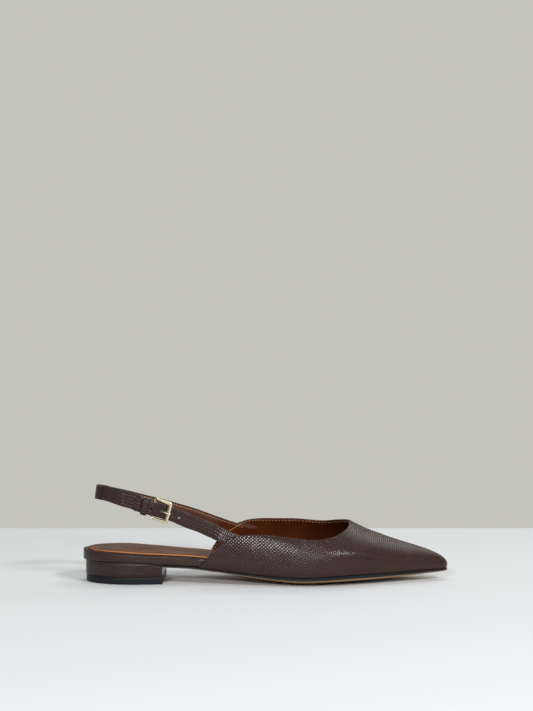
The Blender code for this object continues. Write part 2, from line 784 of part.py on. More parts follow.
lean_table = np.vstack([lean_table, (1.0, 0.0)])
billet_lean = np.interp(billet_run, lean_table[:, 0], lean_table[:, 1])
tip = round_end(1.0 - billet_run + 0.004, 0.055)
billet_strap = strap(
    "billet_strap",
    billet_line,
    BILLET_WIDTH * tip,
    billet_lean,
    ease(0.42, 0.52, billet_run),
    strap_leather,
)


def billet_spot(a):
    """Point and direction of the billet's middle line at a place along the buckle."""
    places = np.array([(Vector(p) - rear_bar).dot(along) for p in billet_line])
    k = int(np.clip(np.searchsorted(-places, -a) - 1, 0, len(places) - 2))
    f = (a - places[k]) / (places[k + 1] - places[k])
    point = Vector(billet_line[k] + (billet_line[k + 1] - billet_line[k]) * f)
    return point, Vector(billet_line[k + 1] - billet_line[k]).normalized()


hole_in_use = 0.44 * BUCKLE_LENGTH
for number in range(HOLE_COUNT):
    point, run = billet_spot(hole_in_use + (number - HOLE_COUNT // 2) * HOLE_PITCH)
    turn = Matrix((run, across, run.cross(across))).transposed()
    drill = cutter(
        f"hole_{number + 1}", point, (HOLE_DIAMETER / 2, 4 * STRAP_THICKNESS), turn
    )
    cut(billet_strap, drill)

# Sling strap: folded round the rear bar, round the back of the heel, and tucked inside
# the inner quarter.
sling = strap_points(SLING_LINE, 1, BILLET_WIDTH)
fold = []
for a, drop in ((-1.00, 0.34), (-0.75, 0.46), (-0.42, 0.80)):
    fold.append(in_buckle(a * FOLD_LENGTH, drop * fold_radius - 1.06 * layer))
for turn in np.linspace(-90.0, 90.0, 9):
    angle = math.radians(turn)
    fold.append(in_buckle(fold_radius * math.cos(angle), fold_radius * math.sin(angle)))
for a, b in ((-0.45, 0.80), (-0.80, 0.46)):
    fold.append(in_buckle(a * FOLD_LENGTH, b * fold_radius))
sling_points = np.vstack([fold, sling[:, :3]])
sling_share = np.concatenate([np.linspace(0.0, 0.14, 40), np.linspace(0.14, 1.0, 64)[1:]])
sling_line = smooth_line(sling_points, sling_share)
steps = np.linalg.norm(np.diff(sling_points, axis=0), axis=1)
run = np.concatenate([[0.0], np.cumsum(steps)])
lean_at = np.concatenate([np.zeros(len(fold)), sling[:, 3]])
sling_lean = np.interp(sling_share * run[-1], run, lean_at)
from_bar = np.abs([(Vector(p) - rear_bar).dot(along) for p in sling_line])
inner_half = ease(-0.3 * SEAT_WIDTH, 0.3 * SEAT_WIDTH, sling_line[:, 1])
sling_widths = STRAP_WIDTH - (STRAP_WIDTH - BILLET_WIDTH) * inner_half
at_back = ease(0.115, 0.045, sling_line[:, 0] / LENGTH + 0.5)
sling_widths = sling_widths - (sling_widths - STRAP_BACK_WIDTH) * at_back
in_fold = ease(FOLD_LENGTH, 0.6 * FOLD_LENGTH, from_bar)
sling_widths = sling_widths - (sling_widths - BILLET_WIDTH) * in_fold
sling_strap = strap(
    "sling_strap",
    sling_line,
    sling_widths,
    sling_lean,
    0.5 + 0.5 * ease(0.19, 0.13, sling_share) - 0.5 * ease(0.70, 0.85, sling_share),
    strap_leather,
)
buckle_turn = Matrix((along, across, outward)).transposed()
slot = cutter(
    "prong_slot",
    rear_bar + along * (fold_radius * 0.2),
    (4.2 * fold_radius, SLOT_WIDTH, 6 * fold_radius),
    buckle_turn,
)
cut(sling_strap, slot)

# Buckle frame: a ring of four bars with round corners, the front bar broad and bevelled.
gilt = material("gilt_metal", (0.72, 0.60, 0.42), 0.28, 1.0)
tilt = Matrix.Rotation(-FRAME_TILT, 3, across)
frame_along = tilt @ along
if (frame_along - along).dot(outward) < 0:
    frame_along = tilt.inverted() @ along
frame_out = frame_along.cross(across)
if frame_out.dot(outward) < 0:
    frame_out = -frame_out
frame_points = []
corner = BUCKLE_CORNER
reach_a = BUCKLE_LENGTH - BAR_DIAMETER
reach_c = BUCKLE_HEIGHT / 2 - bar_radius
for middle_a, middle_c, first in (
    (reach_a - corner, reach_c - corner, 0), (corner, reach_c - corner, 90),
    (corner, corner - reach_c, 180), (reach_a - corner, corner - reach_c, 270),
):
    for step in range(5):
        angle = math.radians(first + step * 22.5)
        frame_points.append((
            middle_a + corner * math.cos(angle), middle_c + corner * math.sin(angle),
            math.cos(angle), math.sin(angle),
        ))
rings = []
for a, c, out_a, out_c in frame_points:
    front = ease(0.62 * reach_a, reach_a, a)
    inward = bar_radius + (FRONT_BAR_WIDTH - BAR_DIAMETER) * front
    centre = rear_bar + frame_along * a + across * c
    away = frame_along * out_a + across * out_c
    ring = []
    for u, n in ((1.0, 0.25), (0.35, 0.9), (-0.35, 0.95), (-1.0, 0.4),
                 (-1.0, -0.5), (-0.4, -0.95), (0.4, -0.95), (1.0, -0.35)):
        reach = bar_radius if u > 0 else inward
        ring.append(tuple(centre + away * (u * reach) + frame_out * (n * bar_radius)))
    rings.append(ring)
points = [p for ring in rings for p in ring]
buckle_frame = solid("buckle_frame", points, ring_faces(len(rings), 8, True), gilt, sharp=35.0)

# Prong: hooked round the rear bar, out through the billet's hole, onto the front bar.
hook = bar_radius + GAP + PRONG_DIAMETER / 2
point, run = billet_spot(hole_in_use)
through_a = (point - rear_bar).dot(along)
through_b = (point - rear_bar).dot(outward)
through_c = (point - rear_bar).dot(across)
slope_a = -run.dot(outward)
slope_b = run.dot(along)
if slope_b < 0:
    slope_a, slope_b = -slope_a, -slope_b
rest_b = front_bar_b + bar_radius + GAP + PRONG_DIAMETER / 2
prong_line = []
for turn in np.linspace(100.0, 330.0, 10):
    angle = math.radians(turn)
    prong_line.append((hook * math.cos(angle), hook * math.sin(angle)))
reach = STRAP_THICKNESS * 1.15
prong_line += [
    (through_a - slope_a * reach - 0.5 * PRONG_DIAMETER, through_b - slope_b * reach),
    (through_a - slope_a * reach * 0.4, through_b - slope_b * reach * 0.4),
    (through_a + slope_a * reach * 0.5, through_b + slope_b * reach * 0.5),
    (through_a + slope_a * reach + 0.58 * PRONG_DIAMETER, through_b + slope_b * reach),
    (front_bar_a - 0.67 * FRONT_BAR_WIDTH, rest_b + 0.17 * PRONG_DIAMETER),
    (front_bar_a + 0.27 * FRONT_BAR_WIDTH, rest_b),
    (front_bar_a + 0.63 * FRONT_BAR_WIDTH, rest_b - 0.08 * PRONG_DIAMETER),
]
prong_share = np.linspace(0.0, 1.0, 40)
prong_points = np.array([in_buckle(a, b, through_c) for a, b in prong_line])
prong_path = smooth_line(prong_points, prong_share)
rings = []
for k, (point, tangent) in enumerate(zip(prong_path, np.gradient(prong_path, axis=0))):
    run = Vector(tangent).normalized()
    normal_out = across.cross(run).normalized()
    radius = PRONG_DIAMETER / 2 * (1.0 - 0.25 * ease(30, 39, k))
    ring = []
    for step in range(8):
        angle = math.radians(step * 45 + 22.5)
        offset = across * math.cos(angle) + normal_out * math.sin(angle)
        ring.append(tuple(Vector(point) + offset * radius))
    rings.append(ring)
points = [p for ring in rings for p in ring]
buckle_prong = solid("buckle_prong", points, ring_faces(len(rings), 8), gilt, sharp=60.0)

# Keeper: a leather band round the two straps and the folded tail.
keeper_a = -KEEPER_PLACE
billet_at, billet_run_at = billet_spot(keeper_a)
outer_b = (billet_at - rear_bar).dot(outward) + STRAP_THICKNESS / 2 + 2.4 * GAP
places = np.array([((Vector(p) - rear_bar).dot(along), (Vector(p) - rear_bar).dot(outward))
                   for p in sling_line])
tail = places[:int(np.argmax(places[:40, 0]))]
tail_b = float(np.interp(keeper_a, tail[:, 0], tail[:, 1]))
inner_b = tail_b - STRAP_THICKNESS / 2 - 3 * GAP
half_c = BILLET_WIDTH / 2 + 1.3 * GAP
half_b = (outer_b - inner_b) / 2
mid_b = (outer_b + inner_b) / 2
soft = KEEPER_CORNER
rings = []
for middle_b, middle_c, first in (
    (half_b - soft, half_c - soft, 0), (soft - half_b, half_c - soft, 90),
    (soft - half_b, soft - half_c, 180), (half_b - soft, soft - half_c, 270),
):
    for step in range(4):
        angle = math.radians(first + step * 30)
        b = middle_b + soft * math.cos(angle)
        c = middle_c + soft * math.sin(angle)
        out_b = math.cos(angle) * KEEPER_THICKNESS
        out_c = math.sin(angle) * KEEPER_THICKNESS
        ring = []
        for side_a, k in ((-1, 0.0), (-1, 0.7), (-0.8, 1.0), (0.8, 1.0), (1, 0.7), (1, 0.0)):
            ring.append(tuple(in_buckle(
                keeper_a + side_a * KEEPER_WIDTH / 2, mid_b + b + out_b * k, c + out_c * k
            )))
        rings.append(ring)
points = [p for ring in rings for p in ring]
strap_keeper = solid(
    "strap_keeper", points, ring_faces(len(rings), 6, True), strap_leather, sharp=50.0
)
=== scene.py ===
"""Sling back flat for the right foot, dressed: embossed leather, lining, stitches, gilt."""

import math

import bmesh
import bpy
import numpy as np
from mathutils import Matrix, Vector


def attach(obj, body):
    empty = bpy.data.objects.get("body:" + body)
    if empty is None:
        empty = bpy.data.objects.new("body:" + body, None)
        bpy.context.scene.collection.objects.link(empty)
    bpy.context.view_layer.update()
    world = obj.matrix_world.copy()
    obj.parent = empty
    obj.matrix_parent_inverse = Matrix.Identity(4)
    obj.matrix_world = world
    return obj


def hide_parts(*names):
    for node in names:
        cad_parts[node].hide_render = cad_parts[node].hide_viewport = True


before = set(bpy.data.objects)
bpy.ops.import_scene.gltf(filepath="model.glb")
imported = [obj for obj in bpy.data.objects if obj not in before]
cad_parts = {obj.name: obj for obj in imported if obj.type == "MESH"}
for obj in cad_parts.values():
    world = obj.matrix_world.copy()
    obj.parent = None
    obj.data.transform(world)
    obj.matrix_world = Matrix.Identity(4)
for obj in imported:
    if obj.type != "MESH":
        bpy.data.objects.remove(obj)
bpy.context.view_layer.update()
scene = bpy.context.scene
scene.view_settings.view_transform = "Standard"

# Camera: level, at the side of the shoe that has the buckle, a little over its height.
CAMERA_PLACE = (0.00076, -1.0615, 0.1695)
LENS_LENGTH = 71.0
SENSOR_WIDTH = 36.0


def placed(name, data):
    """New object of the scene that shows a mesh, a lamp or a camera."""
    made = bpy.data.objects.new(name, data)
    scene.collection.objects.link(made)
    return made


lens = bpy.data.cameras.new("camera")
lens.lens = LENS_LENGTH
lens.sensor_width = SENSOR_WIDTH
camera = placed("camera", lens)
camera.location = CAMERA_PLACE
camera.rotation_euler = (math.radians(90), 0.0, 0.0)
scene.camera = camera

# Table top and studio: a pale table that ends behind the shoe, an evenly lit grey beige
# wall further back, dim surroundings, two broad lamps above and behind the shoe, and
# three small ones in front of it that make the highlights.
TABLE_EDGE = 0.316
TABLE_SIDE = 2.5
TABLE_LEVEL = -0.0001
TABLE_COLOUR = (0.79, 0.815, 0.83, 1.0)
WALL_PLACE = 2.4
WALL_SIDE = 4.0
WALL_FOOT = -1.5
WALL_TOP = 2.5
WALL_COLOUR = (0.553, 0.553, 0.491, 1.0)
ROOM_COLOUR = (0.15, 0.15, 0.15, 1.0)
LAMP_COLOUR = (1.0, 0.995, 0.99)
LAMPS = (
    # name, place, width, height, watts
    ("overhead_lamp", (-0.15, 0.20, 2.60), 1.60, 0.90, 14.5),
    ("back_lamp", (0.95, 1.25, 1.55), 1.00, 0.60, 7.0),
    ("left_lamp", (-0.50, -2.05, 0.80), 0.24, 0.17, 19.0),
    ("front_lamp", (0.30, -2.15, 0.70), 0.26, 0.13, 8.0),
    ("right_lamp", (1.15, -1.40, 1.25), 0.60, 0.20, 24.0),
)


def feed(node, inputs):
    """Inputs of a node set to values or linked to sockets."""
    for key, value in inputs.items():
        if isinstance(value, bpy.types.NodeSocket):
            node.id_data.links.new(value, node.inputs[key])
        else:
            node.inputs[key].default_value = value


def finish_of(name):
    """Empty material, its tree and its shader."""
    made = bpy.data.materials.new(name)
    made.use_nodes = True
    return made, made.node_tree, made.node_tree.nodes["Principled BSDF"]


def stage_sheet(name, corners, finish_name, inputs):
    """Flat rectangle of the studio with a plain finish."""
    mesh = bpy.data.meshes.new(name)
    mesh.from_pydata(corners, [], [(0, 1, 2, 3)])
    finish, tree, shader = finish_of(finish_name)
    feed(shader, inputs)
    mesh.materials.append(finish)
    placed(name, mesh)


stage_sheet("table_top", [
    (x, y, TABLE_LEVEL) for x, y in (
        (-TABLE_SIDE, -TABLE_SIDE), (TABLE_SIDE, -TABLE_SIDE), (TABLE_SIDE, TABLE_EDGE),
        (-TABLE_SIDE, TABLE_EDGE),
    )
], "table_paper", {"Base Color": TABLE_COLOUR, "Roughness": 0.75, "Specular IOR Level": 0.25})
stage_sheet("studio_wall", [
    (x, WALL_PLACE, z) for x, z in (
        (-WALL_SIDE, WALL_FOOT), (WALL_SIDE, WALL_FOOT), (WALL_SIDE, WALL_TOP),
        (-WALL_SIDE, WALL_TOP),
    )
], "lit_wall", {
    "Base Color": (0.0, 0.0, 0.0, 1.0), "Roughness": 1.0, "Specular IOR Level": 0.0,
    "Emission Color": WALL_COLOUR, "Emission Strength": 1.0,
})
world = bpy.data.worlds.new("studio")
world.use_nodes = True
world.node_tree.nodes["Background"].inputs["Color"].default_value = ROOM_COLOUR
scene.world = world
for name, place, width, height, watts in LAMPS:
    lamp = bpy.data.lights.new(name, "AREA")
    lamp.shape = "RECTANGLE"
    lamp.size = width
    lamp.size_y = height
    lamp.energy = watts
    lamp.color = LAMP_COLOUR
    hung = placed(name, lamp)
    hung.location = place
    hung.rotation_euler = (-Vector(place)).to_track_quat("-Z", "Y").to_euler()

# Upper leather: one skin of fine lizard embossed calf cut as a vamp with two quarters,
# drawn over a pointed last, its topline and back edges folded and stitched down.
LENGTH = 0.2750
BALL_WIDTH = 0.0720
SEAT_WIDTH = 0.0546
HEEL_HEIGHT = 0.0165
INSTEP_HEIGHT = 0.0450
TOE_SPRING = 0.0022
WALL = 0.0018
GAP = 0.0003
WALL_SWELL = 0.0022
WALL_SWELL_HEIGHT = 0.0095
QUARTER_BOW = 0.0035
SOLE_THICKNESS = 0.0034
SOLE_CROWN = 0.0034
TOE_CROWDING = 1.45
HEEL_ROUND = 0.130
TOE_ROUND = 0.016
FAN_STATION = 0.900
THROAT_STATION = 0.7290
QUARTER_BACK_OUTER = 0.321
QUARTER_BACK_INNER = 0.330
LEATHER = 0.00095
LINING = 0.00068
BOARD_PLAN = np.array([
    # station, middle, half width
    (0.000, 0.000, 0.498),
    (0.130, 0.000, 0.500),
    (0.173, -0.004, 0.489),
    (0.227, -0.008, 0.450),
    (0.282, -0.011, 0.398),
    (0.322, -0.012, 0.373),
    (0.378, -0.017, 0.362),
    (0.449, -0.016, 0.382),
    (0.522, -0.006, 0.425),
    (0.591, 0.001, 0.471),
    (0.638, 0.008, 0.478),
    (0.689, 0.011, 0.456),
    (0.740, 0.015, 0.405),
    (0.809, 0.026, 0.310),
    (0.878, 0.036, 0.208),
    (0.951, 0.047, 0.104),
    (1.000, 0.060, 0.036),
])
SOLE_PROFILE = np.array([
    # station, heel rise, toe spring, thickness, crown, rand
    (0.000, 1.000, 0.00, 0.49, 0.20, 1.00),
    (0.064, 1.000, 0.00, 0.49, 0.20, 0.94),
    (0.118, 0.985, 0.00, 0.49, 0.20, 0.90),
    (0.173, 0.895, 0.00, 0.49, 0.20, 0.89),
    (0.224, 0.775, 0.00, 0.49, 0.20, 0.94),
    (0.282, 0.675, 0.00, 0.49, 0.22, 0.93),
    (0.322, 0.590, 0.00, 0.49, 0.26, 0.94),
    (0.378, 0.440, 0.00, 0.50, 0.38, 0.89),
    (0.449, 0.240, 0.00, 0.62, 0.62, 0.74),
    (0.522, 0.077, 0.00, 0.84, 0.88, 0.47),
    (0.593, 0.000, 0.00, 0.98, 1.00, 0.33),
    (0.640, 0.000, 0.12, 1.00, 1.02, 0.27),
    (0.688, 0.000, 0.42, 1.04, 1.02, 0.24),
    (0.739, 0.000, 0.64, 1.08, 0.94, 0.22),
    (0.808, 0.000, 0.70, 1.06, 0.62, 0.20),
    (0.878, 0.000, 0.78, 0.92, 0.34, 0.19),
    (0.951, 0.000, 0.95, 0.70, 0.12, 0.19),
    (1.000, 0.000, 1.00, 0.50, 0.02, 0.19),
])
LAST_PROFILE = np.array([
    # station, ridge, shift, swell, swell height, outer roundness, inner roundness
    (0.290, 1.600, 0.000, 0.60, 0.70, 2.00, 2.00),
    (0.400, 1.520, 0.010, 0.80, 0.85, 1.95, 1.95),
    (0.520, 1.400, 0.025, 1.00, 1.00, 1.80, 1.85),
    (0.600, 1.280, 0.036, 1.00, 1.00, 1.60, 1.75),
    (0.667, 1.130, 0.045, 1.00, 1.00, 1.45, 1.65),
    (0.734, 0.985, 0.050, 0.92, 0.92, 1.38, 1.58),
    (0.780, 0.852, 0.053, 0.82, 0.84, 1.36, 1.52),
    (0.815, 0.772, 0.055, 0.72, 0.76, 1.34, 1.48),
    (0.851, 0.692, 0.057, 0.62, 0.68, 1.32, 1.42),
    (0.900, 0.598, 0.060, 0.50, 0.58, 1.30, 1.36),
    (1.000, 0.400, 0.060, 0.28, 0.30, 0.96, 0.96),
])
TOPLINE_OUTER = np.array([
    # station, share of INSTEP_HEIGHT
    (0.423, 0.808),
    (0.436, 0.824),
    (0.468, 0.837),
    (0.507, 0.832),
    (0.545, 0.809),
    (0.591, 0.780),
    (0.620, 0.761),
    (0.647, 0.760),
    (0.668, 0.779),
    (0.689, 0.806),
    (0.706, 0.849),
    (0.718, 0.882),
    (0.726, 0.925),
])
TOPLINE_INNER = np.array([
    (0.422, 0.880),
    (0.440, 0.929),
    (0.467, 0.960),
    (0.500, 0.968),
    (0.535, 0.964),
    (0.569, 0.961),
    (0.598, 0.955),
    (0.633, 0.936),
    (0.669, 0.934),
    (0.697, 0.965),
    (0.717, 0.985),
])
ARC = np.linspace(0.0, 1.0, 65)
FOOT = np.linspace(0.0, 1.0, 21)[1:]


def at(table, column, station):
    """Smooth curve through one column of a table, read at a station."""
    xs = table[:, 0]
    ys = table[:, column]
    slopes = np.gradient(ys, xs)
    station = np.clip(np.asarray(station, float), xs[0], xs[-1])
    k = np.clip(np.searchsorted(xs, station) - 1, 0, len(xs) - 2)
    span = xs[k + 1] - xs[k]
    f = (station - xs[k]) / span
    return (
        ys[k] * (1 + 2 * f) * (1 - f) ** 2
        + slopes[k] * span * f * (1 - f) ** 2
        + ys[k + 1] * f * f * (3 - 2 * f)
        + slopes[k + 1] * span * f * f * (f - 1)
    )


def ease(low, high, value):
    """Soft step from 0 at low to 1 at high."""
    f = np.clip((np.asarray(value, float) - low) / (high - low), 0.0, 1.0)
    return f * f * (3 - 2 * f)


def round_end(distance, span):
    """Quarter-ellipse end of a plan: 0 at the end, 1 from span inward."""
    return np.sqrt(1.0 - (1.0 - np.clip(distance / span, 0.0, 1.0)) ** 2)


def to_x(station):
    return (station - 0.5) * LENGTH


def plan_middle(s):
    width = SEAT_WIDTH + (BALL_WIDTH - SEAT_WIDTH) * ease(0.22, 0.50, s)
    return at(BOARD_PLAN, 1, s) * width


def plan_half(s):
    width = SEAT_WIDTH + (BALL_WIDTH - SEAT_WIDTH) * ease(0.22, 0.50, s)
    return at(BOARD_PLAN, 2, s) * width * round_end(s, HEEL_ROUND)


def upper_half(s):
    return (plan_half(s) + WALL + GAP) * round_end(1.0 - s, TOE_ROUND)


def sole_top(s):
    level = SOLE_THICKNESS + SOLE_CROWN * 0.82
    rise = (HEEL_HEIGHT - level) * at(SOLE_PROFILE, 1, s)
    return level + rise + TOE_SPRING * at(SOLE_PROFILE, 2, s)


def ridge_height(s):
    return at(LAST_PROFILE, 1, s) * INSTEP_HEIGHT


def ridge_side(s):
    return at(LAST_PROFILE, 2, s) * BALL_WIDTH


def section(station, side):
    """Section of the last that ends on the sole at each station, ridge first. Behind
    FAN_STATION it stands square to the shoe, in front it fans out from the ridge."""
    s = np.atleast_1d(np.asarray(station, float))
    spine = np.minimum(s, FAN_STATION)
    dx = to_x(s) - to_x(spine)
    dy = plan_middle(s) + side * upper_half(s) - ridge_side(spine)
    reach = np.hypot(dx, dy)
    swell = at(LAST_PROFILE, 3, s) * WALL_SWELL
    foot_z = sole_top(s) + GAP
    rise = at(LAST_PROFILE, 4, s) * WALL_SWELL_HEIGHT
    top_z = ridge_height(spine)
    power = 2.0 / at(LAST_PROFILE, 5 if side < 0 else 6, s)
    turn = ARC[None, :] * math.pi / 2
    wide = (reach + swell)[:, None]
    wide_z = (foot_z + rise)[:, None]
    d_top = wide * np.sin(turn) ** power[:, None]
    z_top = wide_z + (top_z[:, None] - wide_z) * np.cos(turn)
    turn = FOOT[None, :] * math.pi / 2
    d_low = wide - swell[:, None] * (1 - np.cos(turn))
    z_low = wide_z - rise[:, None] * np.sin(turn)
    d = np.hstack([d_top, d_low])
    z = np.hstack([z_top, z_low])
    girth = np.zeros_like(d)
    girth[:, 1:] = np.cumsum(np.hypot(np.diff(d), np.diff(z)), axis=1)
    return dx / reach, dy / reach, spine, d, z, girth


def girth_at_height(station, height, side):
    """Girth from the ridge down to a height, for stations behind the fan."""
    found = section(station, side)
    return np.array([np.interp(-h, -z, g) for h, z, g in zip(height, found[4], found[5])])


def side_at_height(station, height, side):
    """Where the upper's outer face lies across the shoe at one height."""
    found = section(station, side)
    return float(ridge_side(station) + side * np.interp(-height, -found[4][0], found[3][0]))


def toe_station(along, across):
    """Station on the sole's edge that a direction from the fan's point meets."""
    fan_x = to_x(FAN_STATION)
    fan_y = ridge_side(FAN_STATION)
    side = np.where(across < 0, -1.0, 1.0)
    low = np.full_like(along, FAN_STATION)
    high = np.ones_like(along)
    for _ in range(40):
        mid = (low + high) / 2
        edge = (plan_middle(mid) + side * upper_half(mid) - fan_y) * side
        past = edge * along < (to_x(mid) - fan_x) * np.abs(across)
        high = np.where(past, mid, high)
        low = np.where(past, low, mid)
    return (low + high) / 2


def last_surface(pattern):
    """Point on the last for each point of the flat pattern, where the distance from the
    ridge is the girth over the last."""
    flat = pattern.reshape(-1, 2)
    along = flat[:, 0] - to_x(FAN_STATION)
    across = flat[:, 1]
    fanned = along > 0
    station = flat[:, 0] / LENGTH + 0.5
    station = np.where(fanned, toe_station(np.maximum(along, 1e-9), across), station)
    girth = np.where(fanned, np.hypot(along, across), np.abs(across))
    out = np.zeros((len(flat), 3))
    for side in (-1, 1):
        pick = np.where((across < 0) == (side < 0))[0]
        if len(pick) == 0:
            continue
        ux, uy, spine, d, z, length = section(station[pick], side)
        g = girth[pick][:, None]
        k = np.clip((length < g).sum(axis=1) - 1, 0, length.shape[1] - 2)
        row = np.arange(len(pick))
        f = (g[:, 0] - length[row, k]) / (length[row, k + 1] - length[row, k])
        dist = d[row, k] + f * (d[row, k + 1] - d[row, k])
        out[pick, 0] = to_x(spine) + ux * dist
        out[pick, 1] = ridge_side(spine) + uy * dist
        out[pick, 2] = z[row, k] + f * (z[row, k + 1] - z[row, k])
    return out.reshape(*pattern.shape[:-1], 3)


def run_along(points):
    """Length along a line at each of its points."""
    steps = np.linalg.norm(np.diff(points, axis=0), axis=1)
    return np.concatenate([[0.0], np.cumsum(steps)])


def resample(points, shares):
    """Points at shares of the length of a line."""
    run = run_along(points)
    run = run / run[-1]
    return np.stack([np.interp(shares, run, points[:, k]) for k in range(points.shape[1])], 1)


def smooth_line(points, shares):
    """Smooth curve through a few points, read at shares of its length."""
    run = run_along(points)
    table = np.column_stack([run, points])
    where = np.asarray(shares) * run[-1]
    return np.stack([at(table, k + 1, where) for k in range(points.shape[1])], 1)


def feather_half(back, side):
    """Pattern line of the sole's edge on one side, from the quarter's back to the toe."""
    behind = np.linspace(back, FAN_STATION, 240)
    turn = np.linspace(0.0, 1.0, 240) * math.pi / 2
    ahead = 1.0 - (1.0 - FAN_STATION) * (1 - np.sin(turn))
    s = np.concatenate([behind, ahead[1:]])
    ux, uy, spine, d, z, girth = section(s, side)
    reach = girth[:, -1]
    square = s <= FAN_STATION
    x = np.where(square, to_x(s), to_x(spine) + ux * reach)
    y = np.where(square, side * reach, uy * reach)
    return np.column_stack([x, y])


def topline_half(table, side):
    """Pattern line of the topline on one side, from its back corner to the throat."""
    girth = girth_at_height(table[:, 0], table[:, 1] * INSTEP_HEIGHT, side)
    points = np.column_stack([to_x(table[:, 0]), side * girth])
    return np.vstack([points, (to_x(THROAT_STATION), 0.0)])


outer_edge = topline_half(TOPLINE_OUTER, -1)
inner_edge = topline_half(TOPLINE_INNER, 1)
topline = smooth_line(np.vstack([outer_edge, inner_edge[-2::-1]]), np.linspace(0.0, 1.0, 1600))
throat = np.argmax(topline[:, 0])
feather_outer = feather_half(QUARTER_BACK_OUTER, -1)
feather_inner = feather_half(QUARTER_BACK_INNER, 1)


def upper_lines(t):
    """Feather line and topline in the pattern, from the outer back corner round the toe
    to the inner one."""
    near = 1 - (1 - t[t <= 0.5] * 2) ** TOE_CROWDING
    far = 1 - (t[t > 0.5] * 2 - 1) ** TOE_CROWDING
    low = np.vstack([resample(feather_outer, near), resample(feather_inner, far)])
    high = np.vstack([
        resample(topline[:throat + 1], near), resample(topline[throat:][::-1], far)
    ])
    return low, high


def upper_pattern(t, v):
    """Pattern points: t along the outline, v from the sole's edge to the topline."""
    low, high = upper_lines(t)
    grid = low[:, None, :] * (1 - v[..., None]) + high[:, None, :] * v[..., None]
    ends = ease(0.10, 0.0, t) - ease(0.90, 1.0, t)
    bow = QUARTER_BOW * np.sin(math.pi * v ** 1.3) * 0.7
    grid[..., 0] -= np.abs(ends)[:, None] * bow
    grid[..., 1] += ends[:, None] * bow
    return grid


# Creases of the upper: two ends of a soft line as station and share of INSTEP_HEIGHT, its
# half width, and how far it stands out of the leather or sinks in.
CREASES = (
    # side, station, height, station, height, half width, rise
    (-1, 0.640, 0.470, 0.760, 0.520, 0.0060, 0.00045),
    (-1, 0.650, 0.300, 0.800, 0.340, 0.0050, -0.00035),
    (-1, 0.800, 0.420, 0.900, 0.330, 0.0040, 0.00025),
    (-1, 0.500, 0.560, 0.600, 0.400, 0.0070, -0.00030),
    (1, 0.620, 0.480, 0.760, 0.500, 0.0060, 0.00040),
    (1, 0.640, 0.300, 0.800, 0.330, 0.0050, -0.00035),
)


def crease_rise(pattern):
    """How far the creases lift the leather at each point of the pattern."""
    rise = np.zeros(pattern.shape[:-1])
    for side, s0, h0, s1, h1, wide, tall in CREASES:
        height = np.array([h0, h1]) * INSTEP_HEIGHT
        girth = girth_at_height(np.array([s0, s1]), height, side)
        start = np.array([to_x(s0), side * girth[0]])
        run = np.array([to_x(s1), side * girth[1]]) - start
        share = ((pattern - start) @ run) / (run @ run)
        off = np.linalg.norm(pattern - start - np.clip(share, 0, 1)[..., None] * run, axis=-1)
        rise += tall * np.exp(-(off / wide) ** 2)
    return rise


def on_last(pattern, depth):
    """Points at a depth under the outer face, creases and all."""
    step = 2e-4
    dx = np.array([step, 0.0])
    dy = np.array([0.0, step])
    slope_x = last_surface(pattern + dx) - last_surface(pattern - dx)
    slope_y = last_surface(pattern + dy) - last_surface(pattern - dy)
    normal = np.cross(slope_x, slope_y)
    normal /= np.linalg.norm(normal, axis=-1, keepdims=True)
    return last_surface(pattern) + normal * (crease_rise(pattern) - depth)[..., None]


CAP_BEAD = 0.0015


def skin(name, points, uv, finish, closed=False, caps=True, sharp=40.0, breast=None):
    """Closed mesh over rings of points. uv has one column more than points, for the
    seam. With breast, the last ring's cap gets that second material."""
    rings, around = points.shape[:2]
    count = rings if closed else rings - 1
    i = np.repeat(np.arange(count), around)
    k = np.tile(np.arange(around), count)
    i2 = (i + 1) % rings
    k2 = (k + 1) % around
    faces = np.stack([i * around + k, i2 * around + k, i2 * around + k2, i * around + k2], 1)
    corners = [uv[i, k], uv[i + 1, k], uv[i + 1, k + 1], uv[i, k + 1]]
    loops = np.stack(corners, 1).reshape(-1, 2)
    faces = faces.tolist()
    if caps and not closed:
        for ring, order in ((0, -1), (rings - 1, 1)):
            faces.append([ring * around + n for n in range(around)][::order])
            loops = np.vstack([loops, points[ring][::order, 1:] / CAP_BEAD])
    mesh = bpy.data.meshes.new(name)
    mesh.from_pydata(points.reshape(-1, 3).tolist(), [], faces)
    mesh.uv_layers.new(name="skin").data.foreach_set("uv", loops.astype(np.float32).ravel())
    mesh.materials.append(finish)
    if breast:
        mesh.materials.append(breast)
        mesh.polygons[len(faces) - 1].material_index = 1
    shape = bmesh.new()
    shape.from_mesh(mesh)
    bmesh.ops.remove_doubles(shape, verts=shape.verts, dist=2e-6)
    bmesh.ops.recalc_face_normals(shape, faces=shape.faces)
    shape.to_mesh(mesh)
    shape.free()
    mesh.shade_smooth()
    mesh.set_sharp_from_angle(angle=math.radians(sharp))
    return placed(name, mesh)


def keep(piece, slot, *nodes):
    """Hangs a finished piece on the shoe's one body."""
    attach(piece, "root")
    if nodes:
        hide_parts(*nodes)


def add(tree, kind, inputs=None, **settings):
    """New node with its settings and its inputs."""
    made = tree.nodes.new(kind)
    for key, value in settings.items():
        setattr(made, key, value)
    feed(made, inputs or {})
    return made


def place_in(tree):
    """Socket with the place in the piece's own coordinates."""
    return add(tree, "ShaderNodeTexCoord").outputs["Object"]


def sums(tree, operation, *values):
    """Output of a Math node."""
    return add(tree, "ShaderNodeMath", dict(enumerate(values)), operation=operation).outputs[0]


